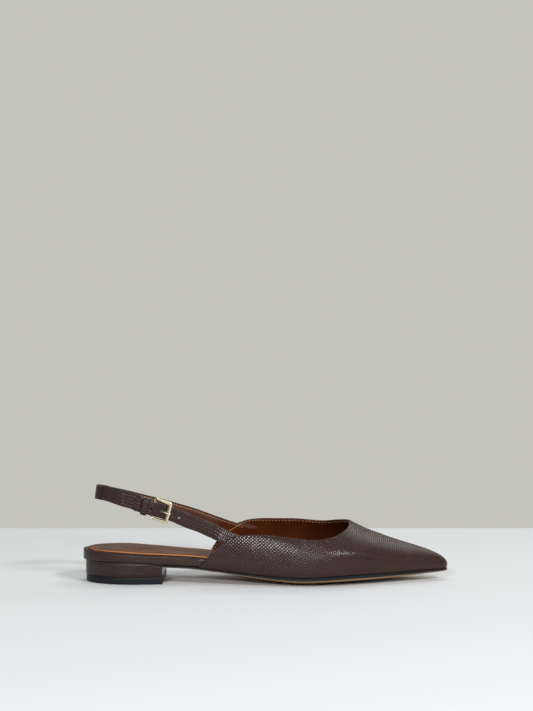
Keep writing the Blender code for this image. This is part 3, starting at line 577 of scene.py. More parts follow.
def blend(tree, share, first, second):
    """Colour or value between two, by a share."""
    number = isinstance(first, float) or getattr(first, "type", "") == "VALUE"
    kind = "FLOAT" if number else "RGBA"
    made = add(tree, "ShaderNodeMix", data_type=kind)
    ports = {"FLOAT": (0, 2, 3, 0), "RGBA": (0, 6, 7, 2)}[kind]
    for port, value in zip(ports, (share, first, second)):
        bare = isinstance(value, tuple) and len(value) == 3
        feed(made, {port: (*value, 1.0) if bare else value})
    return made.outputs[ports[3]]


def new_group(name, inputs, outputs, kind="ShaderNodeTree"):
    """Node group with named sockets, and its two end nodes."""
    tree = bpy.data.node_groups.new(name, kind)
    for label, socket, value in inputs:
        made = tree.interface.new_socket(name=label, in_out="INPUT", socket_type=socket)
        if value is not None:
            made.default_value = value
    for label, socket in outputs:
        tree.interface.new_socket(name=label, in_out="OUTPUT", socket_type=socket)
    return tree, tree.nodes.new("NodeGroupInput"), tree.nodes.new("NodeGroupOutput")


NUMBER = "NodeSocketFloat"
scales, given, made_out = new_group(
    "embossed_scales",
    [("Skin", "NodeSocketVector", None), ("Rhombic", NUMBER, 1.0), ("Cross", NUMBER, 1.0),
     ("Wander", NUMBER, 0.25)],
    [("Height", NUMBER), ("Scale Tone", NUMBER)],
)
wave = add(scales, "ShaderNodeTexNoise", {"Vector": given.outputs["Skin"], "Scale": 0.3})
shift = add(scales, "ShaderNodeVectorMath", {0: wave.outputs["Color"], 1: (0.5, 0.5, 0.5)},
            operation="SUBTRACT")
shift = add(scales, "ShaderNodeVectorMath",
            {0: shift.outputs[0], "Scale": given.outputs["Wander"]}, operation="SCALE")
place = add(scales, "ShaderNodeVectorMath",
            {0: given.outputs["Skin"], 1: shift.outputs[0]}, operation="ADD")
apart = add(scales, "ShaderNodeSeparateXYZ", {0: place.outputs[0]})
along_u, across_v = apart.outputs[0], apart.outputs[1]
TILE_DOME = 0.35


def pillow(tree, value):
    """Slightly domed tile profile with a narrow groove at every half turn."""
    turned = sums(tree, "COSINE", sums(tree, "MULTIPLY", value, math.pi))
    dome = sums(tree, "ABSOLUTE", turned)
    plate = add(tree, "ShaderNodeMapRange", {"Value": dome, "From Min": 0.05, "From Max": 0.55},
                interpolation_type="SMOOTHSTEP").outputs[0]
    return blend(tree, TILE_DOME, plate, dome)


square_u = sums(scales, "MULTIPLY", along_u, 1.25)
square_v = sums(scales, "MULTIPLY", across_v, 0.85)
square_b = blend(scales, given.outputs["Cross"], 1.0, pillow(scales, square_v))
square = sums(scales, "MULTIPLY", pillow(scales, square_u), square_b)
leaning_u = sums(scales, "MULTIPLY", along_u, 1.5)
half_sum = sums(scales, "MULTIPLY", sums(scales, "ADD", leaning_u, across_v), 0.5)
half_difference = sums(scales, "MULTIPLY", sums(scales, "SUBTRACT", leaning_u, across_v), 0.5)
rhomb = sums(scales, "MULTIPLY", pillow(scales, half_sum), pillow(scales, half_difference))
tall = blend(scales, given.outputs["Rhombic"], square, rhomb)
cell = add(scales, "ShaderNodeCombineXYZ", {
    0: sums(scales, "ROUND", half_sum), 1: sums(scales, "ROUND", half_difference),
})
dice = add(scales, "ShaderNodeTexWhiteNoise", {"Vector": cell.outputs[0]}, noise_dimensions="2D")
feed(made_out, {"Height": tall, "Scale Tone": dice.outputs["Value"]})

grain, given, made_out = new_group(
    "leather_grain",
    [("Place", "NodeSocketVector", None), ("Size", NUMBER, 900.0)],
    [("Height", NUMBER), ("Tone", NUMBER)],
)
cells = add(grain, "ShaderNodeTexVoronoi",
            {"Vector": given.outputs["Place"], "Scale": given.outputs["Size"]},
            feature="DISTANCE_TO_EDGE")
fine = add(grain, "ShaderNodeTexNoise",
           {"Vector": given.outputs["Place"], "Scale": 60.0, "Detail": 4.0})
pores = sums(grain, "MINIMUM", sums(grain, "MULTIPLY", cells.outputs["Distance"], 4.0), 1.0)
feed(made_out, {"Height": pores, "Tone": fine.outputs[0]})


def embossed(name, top, groove, depth, rhombic=0.0, cross=1.0, wander=0.25, fade=None,
             gloss=0.25):
    """Embossed leather: beads lighter and glossier than the grooves between them, the grooves
    coloured darker as painted shade. With fade, the beads turn from rhombs to squares between
    two places along the shoe."""
    made, tree, shader = finish_of(name)
    place = place_in(tree)
    if fade:
        x = add(tree, "ShaderNodeSeparateXYZ", {0: place}).outputs[0]
        rhombic = add(tree, "ShaderNodeMapRange", {
            "Value": x, "From Min": fade[0], "From Max": fade[1], "To Min": 1.0, "To Max": 0.0,
        }).outputs[0]
    beads = add(tree, "ShaderNodeGroup", node_tree=scales)
    feed(beads, {
        "Skin": add(tree, "ShaderNodeUVMap", uv_map="skin").outputs[0],
        "Cross": cross, "Wander": wander, "Rhombic": rhombic,
    })
    skin_grain = add(tree, "ShaderNodeGroup", node_tree=grain)
    feed(skin_grain, {"Place": place})
    height = beads.outputs["Height"]
    # Painted shade: a mask from the bead height, 0 down in the grooves, blends in the dark
    # groove colour where the surface falls away.
    face = add(tree, "ShaderNodeMapRange", {
        "Value": height, "From Min": 0.15, "From Max": 0.75,
    }, interpolation_type="SMOOTHSTEP").outputs[0]
    colour = blend(tree, face, groove, top)
    pale = tuple(min(1.0, c * 1.45 + 0.004) for c in top)
    tone = sums(tree, "MULTIPLY", beads.outputs["Scale Tone"], 0.35)
    tone = sums(tree, "MULTIPLY", tone, face)
    colour = blend(tree, tone, colour, pale)
    deep = tuple(c * 0.72 for c in top)
    clouds = sums(tree, "MULTIPLY", skin_grain.outputs["Tone"], 0.35)
    colour = blend(tree, clouds, colour, deep)
    rough = sums(tree, "SUBTRACT", gloss + 0.45, sums(tree, "MULTIPLY", face, 0.45))
    rough = sums(tree, "ADD", rough, sums(tree, "MULTIPLY", skin_grain.outputs["Tone"], 0.06))
    bump = add(tree, "ShaderNodeBump", {"Height": height, "Distance": depth, "Strength": 1.0})
    fine_bump = add(tree, "ShaderNodeBump", {
        "Height": skin_grain.outputs["Height"], "Distance": 2e-5, "Strength": 0.6,
        "Normal": bump.outputs[0],
    })
    feed(shader, {
        "Base Color": colour, "Roughness": rough, "Normal": fine_bump.outputs[0],
        "Specular IOR Level": 0.36,
    })
    return made


# Bead colour, and the dark groove colour that paints the shade in the grooves.
LEATHER_TOP = (0.037, 0.0108, 0.0068)
LEATHER_GROOVE_SHADE = (0.003, 0.0011, 0.0008)
UPPER_COLUMNS = 300
UPPER_ROWS = 64
BEAD_LENGTH = 0.00200
BEAD_WIDTH = 0.00130
BEAD_DEPTH = 0.00013
TURN_TO_SQUARES = (0.010, 0.055)
END_RUN = 0.55
EDGE_MOST = 0.0016
columns = np.linspace(0.0, 1.0, UPPER_COLUMNS + 1)
edge_columns = np.array([0.0002, 0.0005, 0.0009])
columns = np.sort(np.concatenate([columns, edge_columns, 1 - edge_columns]))
rows = np.linspace(0.0, 1.0, UPPER_ROWS + 1)
turn = np.linspace(0.0, math.pi, 9)[1:-1]


def wall_rings(t, top_gap, outer_depth, inner_depth, end_gap, lift=None):
    """Closed rings down one face of a sheet of the upper and up the other, with a
    rounded top edge, and rounded ends. A lift carries the sheet further inward."""
    low, high = upper_lines(t)
    tall = np.linalg.norm(high - low, axis=1)[:, None]
    radius = (inner_depth - outer_depth) / 2
    up = rows[None, :] * (1 - (top_gap + radius) / tall)
    bend = 1 - (top_gap + radius * (1 - np.sin(turn)[None, :])) / tall
    v = np.hstack([up, bend, up[:, ::-1]])
    depth = np.concatenate([
        np.full(len(rows), -1.0), -np.cos(turn), np.full(len(rows), 1.0)
    ])[None, :]
    middle = (inner_depth + outer_depth) / 2
    ends = round_end(np.minimum(t, 1 - t) * END_RUN - end_gap, radius)[:, None]
    pattern = upper_pattern(t, v)
    depth = middle + depth * radius * ends
    if lift:
        depth = depth + lift(pattern)
    return pattern, on_last(pattern, depth)


vamp_leather = embossed("embossed_leather", LEATHER_TOP, LEATHER_GROOVE_SHADE, BEAD_DEPTH,
                        wander=0.5, fade=TURN_TO_SQUARES, gloss=0.165)
pattern, points = wall_rings(columns, 0.0, 0.0, LEATHER, 0.0)
stretch = 1.0 - 0.25 * ease(0.02, 0.11, pattern[..., 0])
uv = np.stack([pattern[..., 0] / BEAD_LENGTH, pattern[..., 1] / (BEAD_WIDTH * stretch)], -1)
uv = np.concatenate([uv, uv[:, :1]], axis=1)
vamp_skin = skin("vamp_skin", points, uv, vamp_leather, caps=False, sharp=60.0)
keep(vamp_skin, "embossed_leather", "upper")

# Upper lining: smooth tan calf, cut a little shorter than the leather and stitched under
# the folded topline. It bulges over the two strap ends.
LINING_COLOUR = (0.080, 0.0170, 0.0033)
LINING_DROP = 0.00018
LINING_SPACE = 0.00005


def smooth_leather(name, colour, gloss=0.40, shade=0.55):
    """Smooth aniline leather, darker in clouds, with a fine grain."""
    made, tree, shader = finish_of(name)
    skin_grain = add(tree, "ShaderNodeGroup", node_tree=grain)
    feed(skin_grain, {"Place": place_in(tree)})
    dark = tuple(c * shade for c in colour)
    clouds = add(tree, "ShaderNodeMapRange", {
        "Value": skin_grain.outputs["Tone"], "From Min": 0.35, "From Max": 0.7,
    }).outputs[0]
    bump = add(tree, "ShaderNodeBump", {
        "Height": skin_grain.outputs["Height"], "Distance": 4e-5, "Strength": 0.5,
    })
    feed(shader, {
        "Base Color": blend(tree, clouds, colour, dark),
        "Roughness": sums(tree, "ADD", gloss - 0.05, sums(tree, "MULTIPLY", clouds, 0.12)),
        "Normal": bump.outputs[0], "Specular IOR Level": 0.25,
    })
    return made


# Where each strap is tucked in: the height of its middle line at two stations, as
# shares of INSTEP_HEIGHT, and the half width that the lining bulges over.
TUCKS = (
    # side, station, height, station, height
    (-1, 0.379, 0.816, 0.442, 0.603),
    (1, 0.388, 0.840, 0.440, 0.722),
)
TUCK_END = 0.455
TUCK_FADE = 0.030
TUCK_HALF = 0.0054
TUCK_RISE = 0.00260
TUCK_SLOPE_BELOW = 0.0030
TUCK_SLOPE_ABOVE = (0.0008, 0.0026)


def tuck_lift(pattern):
    """How far the lining is carried inward by the strap ends under it."""
    lift = np.zeros(pattern.shape[:-1])
    station = pattern[..., 0] / LENGTH + 0.5
    for side, s0, h0, s1, h1 in TUCKS:
        height = np.array([h0, h1]) * INSTEP_HEIGHT
        girth = girth_at_height(np.array([s0, s1]), height, side)
        middle = girth[0] + (girth[1] - girth[0]) * (station - s0) / (s1 - s0)
        off = side * pattern[..., 1] - middle
        across_it = ease(TUCK_HALF + TUCK_SLOPE_BELOW, TUCK_HALF, off)
        near, far = TUCK_SLOPE_ABOVE
        across_it = across_it * ease(TUCK_HALF + far, TUCK_HALF + near, -off)
        lift += TUCK_RISE * across_it * ease(TUCK_END + TUCK_FADE, TUCK_END, station)
    return lift


tan_lining = smooth_leather("tan_lining", LINING_COLOUR)
inner_columns = columns[(columns > EDGE_MOST) & (columns < 1 - EDGE_MOST)]
pattern, points = wall_rings(
    inner_columns, LINING_DROP, LEATHER + LINING_SPACE, LEATHER + LINING,
    inner_columns[0] * END_RUN, tuck_lift,
)
uv = np.concatenate([pattern, pattern[:, :1]], axis=1) / BEAD_LENGTH
vamp_lining = skin("vamp_lining", points, uv, tan_lining, caps=False, sharp=60.0)
keep(vamp_lining, "sock_leather", "upper")

# Stitches: waxed thread laid in rows, one short capsule for each stitch.
STITCH_PITCH = 0.0026
STITCH_LENGTH = 0.0019
THREAD_WIDTH = 0.00062
stitch_tree, given, made_out = new_group(
    "stitch_row",
    [("Rows", "NodeSocketGeometry", None), ("Pitch", NUMBER, STITCH_PITCH),
     ("Stitch", NUMBER, STITCH_LENGTH), ("Thread", NUMBER, THREAD_WIDTH),
     ("Finish", "NodeSocketMaterial", None)],
    [("Stitches", "NodeSocketGeometry")],
    kind="GeometryNodeTree",
)
curve = add(stitch_tree, "GeometryNodeMeshToCurve", {0: given.outputs["Rows"]})
spaced = add(stitch_tree, "GeometryNodeResampleCurve",
             {"Curve": curve.outputs[0], "Length": given.outputs["Pitch"]}, mode="LENGTH")
ball = add(stitch_tree, "GeometryNodeMeshUVSphere", {"Segments": 6, "Rings": 5, "Radius": 0.5})
size = add(stitch_tree, "ShaderNodeCombineXYZ", {
    0: given.outputs["Stitch"], 1: given.outputs["Thread"], 2: given.outputs["Thread"],
})
capsule = add(stitch_tree, "GeometryNodeTransform",
              {"Geometry": ball.outputs[0], "Scale": size.outputs[0]})
tangent = add(stitch_tree, "GeometryNodeInputTangent")
aim = add(stitch_tree, "FunctionNodeAlignRotationToVector",
          {"Vector": tangent.outputs[0]}, axis="X")
laid = add(stitch_tree, "GeometryNodeInstanceOnPoints", {
    "Points": spaced.outputs[0], "Instance": capsule.outputs[0], "Rotation": aim.outputs[0],
})
real = add(stitch_tree, "GeometryNodeRealizeInstances", {0: laid.outputs[0]})
dyed = add(stitch_tree, "GeometryNodeSetMaterial",
           {"Geometry": real.outputs[0], "Material": given.outputs["Finish"]})
feed(made_out, {0: dyed.outputs[0]})


def thread_finish(name, colour):
    """Waxed thread, coloured darker between the turns of its twist as painted shade."""
    made, tree, shader = finish_of(name)
    twist = add(tree, "ShaderNodeTexWave", {"Vector": place_in(tree), "Scale": 900.0})
    # Painted shade: the thread's colour drops to half where the twist's wave dips between turns.
    dark = tuple(c * 0.5 for c in colour)
    bump = add(tree, "ShaderNodeBump", {"Height": twist.outputs["Fac"], "Distance": 5e-5})
    feed(shader, {
        "Base Color": blend(tree, twist.outputs["Fac"], dark, colour), "Roughness": 0.55,
        "Normal": bump.outputs[0],
    })
    return made


def stitch(name, lines, finish, slot, pitch=STITCH_PITCH):
    """One piece of stitches along several lines of points."""
    mesh = bpy.data.meshes.new(name)
    edges = []
    first = 0
    for line in lines:
        edges += [(first + n, first + n + 1) for n in range(len(line) - 1)]
        first += len(line)
    mesh.from_pydata([tuple(p) for line in lines for p in line], edges, [])
    rows_object = placed(name + "_rows", mesh)
    step = rows_object.modifiers.new("stitches", "NODES")
    step.node_group = stitch_tree
    inputs = {item.name: item.identifier for item in stitch_tree.interface.items_tree}
    step[inputs["Pitch"]] = pitch
    step[inputs["Finish"]] = finish
    graph = bpy.context.evaluated_depsgraph_get()
    sewn = bpy.data.meshes.new_from_object(rows_object.evaluated_get(graph))
    sewn.name = name
    bpy.data.objects.remove(rows_object)
    sewn.shade_smooth()
    keep(placed(name, sewn), slot)


BROWN_THREAD = (0.045, 0.022, 0.017)
TAN_THREAD = (0.60, 0.27, 0.10)
brown_thread = thread_finish("brown_thread", BROWN_THREAD)
tan_thread = thread_finish("tan_thread", TAN_THREAD)


def sewn_places(t, v, depth):
    """Places of a seam at a depth under the upper's outer face. A seam on the inner face
    follows the lining."""
    pattern = upper_pattern(t, v)
    lift = tuck_lift(pattern) if depth > LEATHER else 0.0
    return on_last(pattern, depth + lift + np.zeros(v.shape))


def upper_row(t, below, depth):
    """Line on the upper at a distance under the topline."""
    low, high = upper_lines(t)
    tall = np.linalg.norm(high - low, axis=1)
    return sewn_places(t, (1 - below / tall)[:, None], depth)[:, 0]


def end_row(distance, side, depth):
    """Line beside the back edge of a quarter, from its top down to the sole's edge."""
    share = distance / END_RUN
    t = np.array([share if side < 0 else 1 - share])
    return sewn_places(t, np.linspace(0.985, 0.06, 60)[None, :], depth)[0]


sewn_t = np.linspace(0.004, 0.996, 500)
INSIDE = LEATHER + LINING + 0.05 * THREAD_WIDTH
OUTSIDE = -0.00006
SEAM_OUTSIDE = 0.0017
SEAM_INSIDE = 0.0014
END_OUTSIDE = 0.0016
ENDS_INSIDE = (0.0018, 0.0040)
stitch("topline_stitches",
       [upper_row(sewn_t, SEAM_OUTSIDE, OUTSIDE)]
       + [end_row(END_OUTSIDE, side, OUTSIDE) for side in (-1, 1)],
       brown_thread, "embossed_leather")
stitch("lining_stitches",
       [upper_row(sewn_t, SEAM_INSIDE, INSIDE)]
       + [end_row(place, side, INSIDE) for place in ENDS_INSIDE for side in (-1, 1)],
       tan_thread, "sock_leather")

# Insole board: fibre board wrapped in the upper's leather, seen as a rand from the heel
# to the waist.
RAND_HEIGHT = 0.0074
RAND_ROUND = 0.0019
BOARD_END = 0.988
RAND_BEADS = (0.00115, 0.00095)
RAND_BEAD_DEPTH = 0.00016
RAND_TOP = (0.036, 0.0120, 0.0078)


def board_top(s):
    return sole_top(s) + GAP + RAND_HEIGHT * at(SOLE_PROFILE, 5, s)


turn = np.linspace(0.0, math.pi, 181)
stations = BOARD_END * (1 - np.cos(turn)) / 2
half = plan_half(stations) * round_end(BOARD_END - stations, TOE_ROUND)
middle = plan_middle(stations)
low_z = sole_top(stations) + GAP
high_z = board_top(stations)
soft = np.minimum(np.minimum(RAND_ROUND, half / 5.5), 0.65 * (high_z - low_z))
profile = []
for angle in np.linspace(math.pi / 2, 0.0, 7):
    profile.append((1.0, soft * (math.cos(angle) - 1), high_z + soft * (math.sin(angle) - 1)))
for share in (0.8, 0.6, 0.4, 0.2):
    profile.append((1.0, 0.0, low_z + share * (high_z - soft - low_z)))
profile.append((1.0, -0.15 * soft, low_z + 0.06 * (high_z - low_z)))
profile.append((1.0, -0.4 * soft, low_z))
profile = profile + [(-k, -l, z) for k, l, z in profile[::-1]] + [(0.0, 0.0, high_z)]
points = np.stack([
    np.stack([to_x(stations), middle + k * half + l, z], 1) for k, l, z in profile
], 1)
run = run_along(np.column_stack([to_x(stations), half]))
heights = [z for k, l, z in profile]
heights.append(heights[0])
uv = np.stack([np.stack([run, z], 1) for z in heights], 1) / RAND_BEADS
rand_leather = embossed("rand_leather", RAND_TOP, LEATHER_GROOVE_SHADE, RAND_BEAD_DEPTH,
                        rhombic=0.35, wander=0.3, gloss=0.18)
rand = skin("wrapped_board", points, uv, rand_leather, caps=False, sharp=50.0)
keep(rand, "rand_leather", "insole")

# Sock: tan leather over thin foam, with a bound edge, cemented on the board.
SOCK_THICKNESS = 0.0008
SOCK_DOME = 0.0002
SOCK_INSET = 0.0022
SOCK_BACK_INSET = 0.0036
SOCK_END = 0.930
BINDING = 0.0010
SOCK_COLOUR = (0.125, 0.035, 0.0095)
BINDING_COLOUR = (0.42, 0.16, 0.055)


def drawn_in(s, inset):
    """Half width of the seat's plan drawn in by an inset, its round back end too."""
    full = plan_half(s) / np.maximum(round_end(s, HEEL_ROUND), 1e-6)
    return np.maximum(full - inset, 0.0) * round_end(s - inset / LENGTH, HEEL_ROUND)


start = SOCK_BACK_INSET / LENGTH
turn = np.linspace(0.0, math.pi, 181)
stations = start + (SOCK_END - start) * (1 - np.cos(turn)) / 2
half = drawn_in(stations, SOCK_BACK_INSET) + SOCK_BACK_INSET - SOCK_INSET
half = half * round_end(stations - start, start)
half = half * round_end(SOCK_END - stations, 3 * TOE_ROUND)
middle = plan_middle(stations)
low_z = board_top(stations) + GAP
swell = np.minimum(1.0, half / (20 * SOCK_DOME))
profile = [(1.0, 0.0, 0.0), (1.0, 0.0, 0.55), (1.0, 0.18, 0.88), (1.0, 0.45, 1.0),
           (1.0, 0.80, 0.92), (1.0, 1.0, 0.62), (1.0, 1.25, 0.72), (1.0, 1.7, 0.92)]
profile += [(y, 1.7, 1.0) for y in (0.93, 0.8, 0.6, 0.4, 0.2, 0.0)]
full = profile + [(-y, i, z) for y, i, z in profile[-2::-1]]
rings = []
marks = []
for y, inward, lift in full:
    inset = np.minimum(inward * BINDING, 0.3 * half)
    across_y = y * (half - inset)
    dome = SOCK_DOME * swell * (1 - (across_y / np.maximum(half, 1e-6)) ** 4)
    rings.append(np.stack([
        to_x(stations), middle + across_y, low_z + lift * SOCK_THICKNESS + dome * (lift > 0)
    ], 1))
    edge_near = half - np.abs(across_y)
    marks.append(np.stack([to_x(stations), edge_near], 1))
points = np.stack(rings, 1)
marks.append(marks[0])
uv = np.stack(marks, 1)
sock_leather = smooth_leather("sock_leather", SOCK_COLOUR, gloss=0.50, shade=0.62)
tree = sock_leather.node_tree
shader = tree.nodes["Principled BSDF"]
skin_uv = add(tree, "ShaderNodeUVMap", uv_map="skin").outputs[0]
edge = add(tree, "ShaderNodeSeparateXYZ", {0: skin_uv})
bound = add(tree, "ShaderNodeMapRange", {
    "Value": edge.outputs[1], "From Min": BINDING, "From Max": BINDING * 0.7,
}).outputs[0]
was = shader.inputs["Base Color"].links[0].from_socket
feed(shader, {"Base Color": blend(tree, bound, was, BINDING_COLOUR)})
sock = skin("sock_pad", points, uv, sock_leather, caps=False, sharp=60.0)
keep(sock, "sock_leather", "sock")

# Outsole: split leather with a black painted edge and a natural underside, crowned
# across and worn flat where it meets the floor.
SOLE_MARGIN = 0.0005
SOLE_BEVEL = 0.0014
EDGE_SHARE = 0.60
HEEL_LENGTH = 0.0610
EDGE_PAINT = ((0.004, 0.005, 0.007), (0.009, 0.010, 0.013))
UNDERSIDE_COLOUR = (0.30, 0.17, 0.085)
FACES_DOWN = -0.35


def speckled(name, colours, scale, detail, rough, spread, more, depth=0.0):
    """Plain finish between two colours and between two roughnesses, in fine specks."""
    made, tree, shader = finish_of(name)
    noise = add(tree, "ShaderNodeTexNoise",
                {"Vector": place_in(tree), "Scale": scale, "Detail": detail}).outputs[0]
    feed(shader, {
        "Base Color": blend(tree, noise, *colours),
        "Roughness": sums(tree, "ADD", rough, sums(tree, "MULTIPLY", noise, spread)), **more,
    })
    if depth:
        bump = add(tree, "ShaderNodeBump", {"Height": noise, "Distance": depth})
        feed(shader, {"Normal": bump.outputs[0]})
    return made


sole_start = (HEEL_LENGTH + GAP) / LENGTH
sole_end = 1.0 + SOLE_MARGIN / LENGTH
span = np.linspace(0.0, 1.0, 201)
stations = sole_start + (sole_end - sole_start) * np.sin(span * math.pi / 2)
inside = np.minimum(stations, 1.0)
fore = ease(0.29, 0.36, stations)
half = plan_half(inside) + fore * (WALL + GAP + SOLE_MARGIN) - (1 - fore) * GAP
half = np.maximum(half * round_end(sole_end - stations, TOE_ROUND), 0.0)
middle = plan_middle(inside)
top_z = sole_top(inside)
thick = SOLE_THICKNESS * at(SOLE_PROFILE, 3, inside)
crown = SOLE_CROWN * at(SOLE_PROFILE, 4, inside)
narrow = half / (half + SOLE_BEVEL)
under = np.linspace(-1.0, 1.0, 25)
profile = [(y, top_z) for y in (-1.0, 0.0, 1.0)]
profile += [(1.0, top_z - share * thick) for share in (0.12, 0.45, EDGE_SHARE)]
for y in under[::-1]:
    profile.append((y * narrow, np.maximum(top_z - thick - crown * (1 - y * y), 0.0)))
profile += [(-1.0, top_z - share * thick) for share in (EDGE_SHARE, 0.45, 0.12)]
points = np.stack([np.stack([to_x(stations), middle + y * half, z], 1) for y, z in profile], 1)
uv = np.concatenate([points[..., :2], points[:, :1, :2]], axis=1)
sole_edge = speckled("sole_edge_paint", EDGE_PAINT, 220.0, 3.0, 0.28, 0.2,
                     {"Specular IOR Level": 0.25})
sole_under = smooth_leather("sole_underside", UNDERSIDE_COLOUR, gloss=0.5, shade=0.75)
outsole = skin("leather_outsole", points, uv, sole_edge, sharp=35.0)
outsole.data.materials.append(sole_under)
for face in outsole.data.polygons:
    if face.normal.z < FACES_DOWN:
        face.material_index = 1
keep(outsole, "sole_leather", "outsole")

# Heel: a low wooden block covered in the upper's leather, and a black rubber top piece.
TOP_PIECE_HEIGHT = 0.0053
TOP_PIECE_INSET = 0.0023
HEEL_INSET = 0.0018
HEEL_BREAST_HOLLOW = 0.0008
HEEL_EDGE = 0.0003
TOP_PIECE_EDGE = 0.0004
HEEL_LEAN = 0.36
HEEL_BEADS = (0.0015, 0.0016)
HEEL_BEAD_DEPTH = 0.00018
HEEL_TOP = (0.024, 0.0072, 0.0046)
# Breast leather's bead colour, and its darker groove colour, which paints shade in the grooves.
BREAST_COLOURS = ((0.050, 0.019, 0.013), (0.030, 0.011, 0.008))
BREAST_DEPTH = 0.00002
RUBBER_COLOURS = ((0.004, 0.005, 0.007), (0.010, 0.011, 0.014))
RUBBER_GRAIN = (0.002, 0.002)


def heel_layer(name, inset, low_z, high_z, edge, finish, scale, breast=None):
    """One layer of the heel: the seat's plan drawn in, with softened edges."""
    start = inset / LENGTH
    turn = np.linspace(0.0, math.pi / 2, 97)
    s = start + (HEEL_LENGTH / LENGTH - start) * (1 - np.cos(turn))
    half = drawn_in(s, inset)
    middle = plan_middle(s)
    near_breast = ease(0.7, 1.0, s * LENGTH / HEEL_LENGTH)
    low_z = low_z(s)
    high_z = high_z(s)
    steps = [(0.0, 1.0), (0.3, 0.3), (1.0, 0.0)]
    column = [(k, low_z + edge * k, d) for k, d in steps]
    column += [(0, low_z + edge + share * (high_z - low_z - 2 * edge), 0.0)
               for share in (0.25, 0.5, 0.75)]
    column += [(k, high_z - edge * k, d) for k, d in steps[::-1]]
    rings = []
    marks = []
    run = run_along(np.column_stack([to_x(s), half]))
    for side in (-1, 1):
        for k, z, drawn in column[::-side]:
            wide = np.maximum(half - drawn * edge, 0.0)
            rings.append(np.stack([to_x(s), middle + side * wide, z], 1))
            marks.append(np.stack([-side * run, z], 1))
        for y in (0.5 * side, 0.0, -0.5 * side):
            hollow = HEEL_BREAST_HOLLOW * near_breast * (1 - y * y)
            rings.append(np.stack([to_x(s) - hollow, middle + y * half, z], 1))
            marks.append(marks[-1 if side < 0 else 0])
    marks.append(marks[0])
    uv = np.stack(marks, 1)
    lean = uv[..., 0] + HEEL_LEAN * uv[..., 1]
    uv = np.stack([lean, uv[..., 1]], -1) / scale
    return skin(name, np.stack(rings, 1), uv, finish, sharp=35.0, breast=breast)


heel_leather = embossed("heel_leather", HEEL_TOP, LEATHER_GROOVE_SHADE, HEEL_BEAD_DEPTH,
                        cross=0.35, wander=0.35)
heel_breast = embossed("heel_breast", *BREAST_COLOURS, BREAST_DEPTH, cross=0.3, gloss=0.16)
heel_cover = heel_layer(
    "heel_cover", HEEL_INSET, lambda s: TOP_PIECE_HEIGHT + GAP + 0 * s, sole_top, HEEL_EDGE,
    heel_leather, HEEL_BEADS, heel_breast,
)
keep(heel_cover, "heel_leather", "heel_block")
rubber = speckled("black_rubber", RUBBER_COLOURS, 500.0, 4.0, 0.38, 0.2,
                  {"Specular IOR Level": 0.20}, 4e-5)
heel_tip = heel_layer(
    "heel_top_piece", TOP_PIECE_INSET, lambda s: 0 * s, lambda s: TOP_PIECE_HEIGHT + 0 * s,
    TOP_PIECE_EDGE, rubber, RUBBER_GRAIN,
)
keep(heel_tip, "rubber", "top_piece")

# Straps: embossed leather folded over a reinforcement, the inside lined with tan calf.
# The billet comes out of the outer quarter, the sling runs round the heel.
STRAP_HEIGHT = 0.0675
STRAP_WIDTH = 0.0121
STRAP_BACK_WIDTH = 0.0098
BILLET_WIDTH = 0.0103
STRAP_THICKNESS = 0.0017
FOLD_LENGTH = 0.0130
HOLE_DIAMETER = 0.0021
HOLE_PITCH = 0.0070
HOLE_COUNT = 5
BILLET_DROP = 0.0006
BUCKLE_LENGTH = 0.0148
BUCKLE_HEIGHT = 0.0163
BUCKLE_CORNER = 0.0017
BAR_DIAMETER = 0.0018
FRONT_BAR_WIDTH = 0.0030
PRONG_DIAMETER = 0.0012
SLOT_WIDTH = 0.0026
BUCKLE_STATION = 0.2190
BUCKLE_HEIGHT_SHARE = 0.807
BUCKLE_SIDE_SHARE = -0.382
BUCKLE_SLOPE = math.radians(15.5)
BUCKLE_YAW = math.radians(3.5)
FRAME_TILT = math.radians(9.0)
FOLD_STEPS = 110
FOLD_OVER = 0.0010
LINING_SINK = 0.00042
LINING_GRAIN = 0.001
STRAP_BEADS = (0.0019, 0.0021)
STRAP_BEAD_DEPTH = 0.00016
STRAP_TOP = (0.029, 0.0086, 0.0052)
STRAP_PITCH = 0.0023
STRAP_SEAM_OUTSIDE = 0.0013
STRAP_SEAM_INSIDE = 0.0016
BILLET_LINE = np.array([
    # station, height, side, inside the quarter
    (0.4420, 0.402, -0.440, 1),
    (0.4240, 0.450, -0.440, 1),
    (0.4060, 0.492, -0.440, 1),
    (0.3790, 0.544, -0.440, 1),
    (0.3500, 0.595, -0.395, 0),
    (0.3240, 0.642, -0.384, 0),
    (0.2950, 0.683, -0.380, 0),
])
SLING_LINE = np.array([
    (0.1500, 0.898, -0.378, 0),
    (0.1200, 0.934, -0.358, 0),
    (0.0870, 0.969, -0.322, 0),
    (0.0580, 0.989, -0.264, 0),
    (0.0430, 0.991, -0.172, 0),
    (0.0380, 0.990, -0.060, 0),
    (0.0380, 0.987, 0.060, 0),
    (0.0430, 0.976, 0.172, 0),
    (0.0580, 0.955, 0.264, 0),
    (0.0870, 0.923, 0.320, 0),
    (0.1260, 0.882, 0.348, 0),
    (0.1640, 0.841, 0.364, 0),
    (0.2340, 0.766, 0.374, 0),
    (0.3020, 0.685, 0.374, 0),
    (0.3450, 0.621, 0.378, 0),
    (0.3880, 0.560, 0.434, 1),
    (0.4180, 0.516, 0.432, 1),
    (0.4400, 0.481, 0.430, 1),
])
BILLET_RISE = np.array([
    # share of the buckle's length from the rear bar, share of the climb
    (-0.95, 0.69),
    (-0.72, 0.75),
    (-0.48, 0.87),
    (-0.22, 0.98),
    (0.02, 1.01),
    (0.18, 0.84),
    (0.36, 0.52),
    (0.54, 0.16),
    (0.72, 0.00),
    (0.95, 0.00),
])
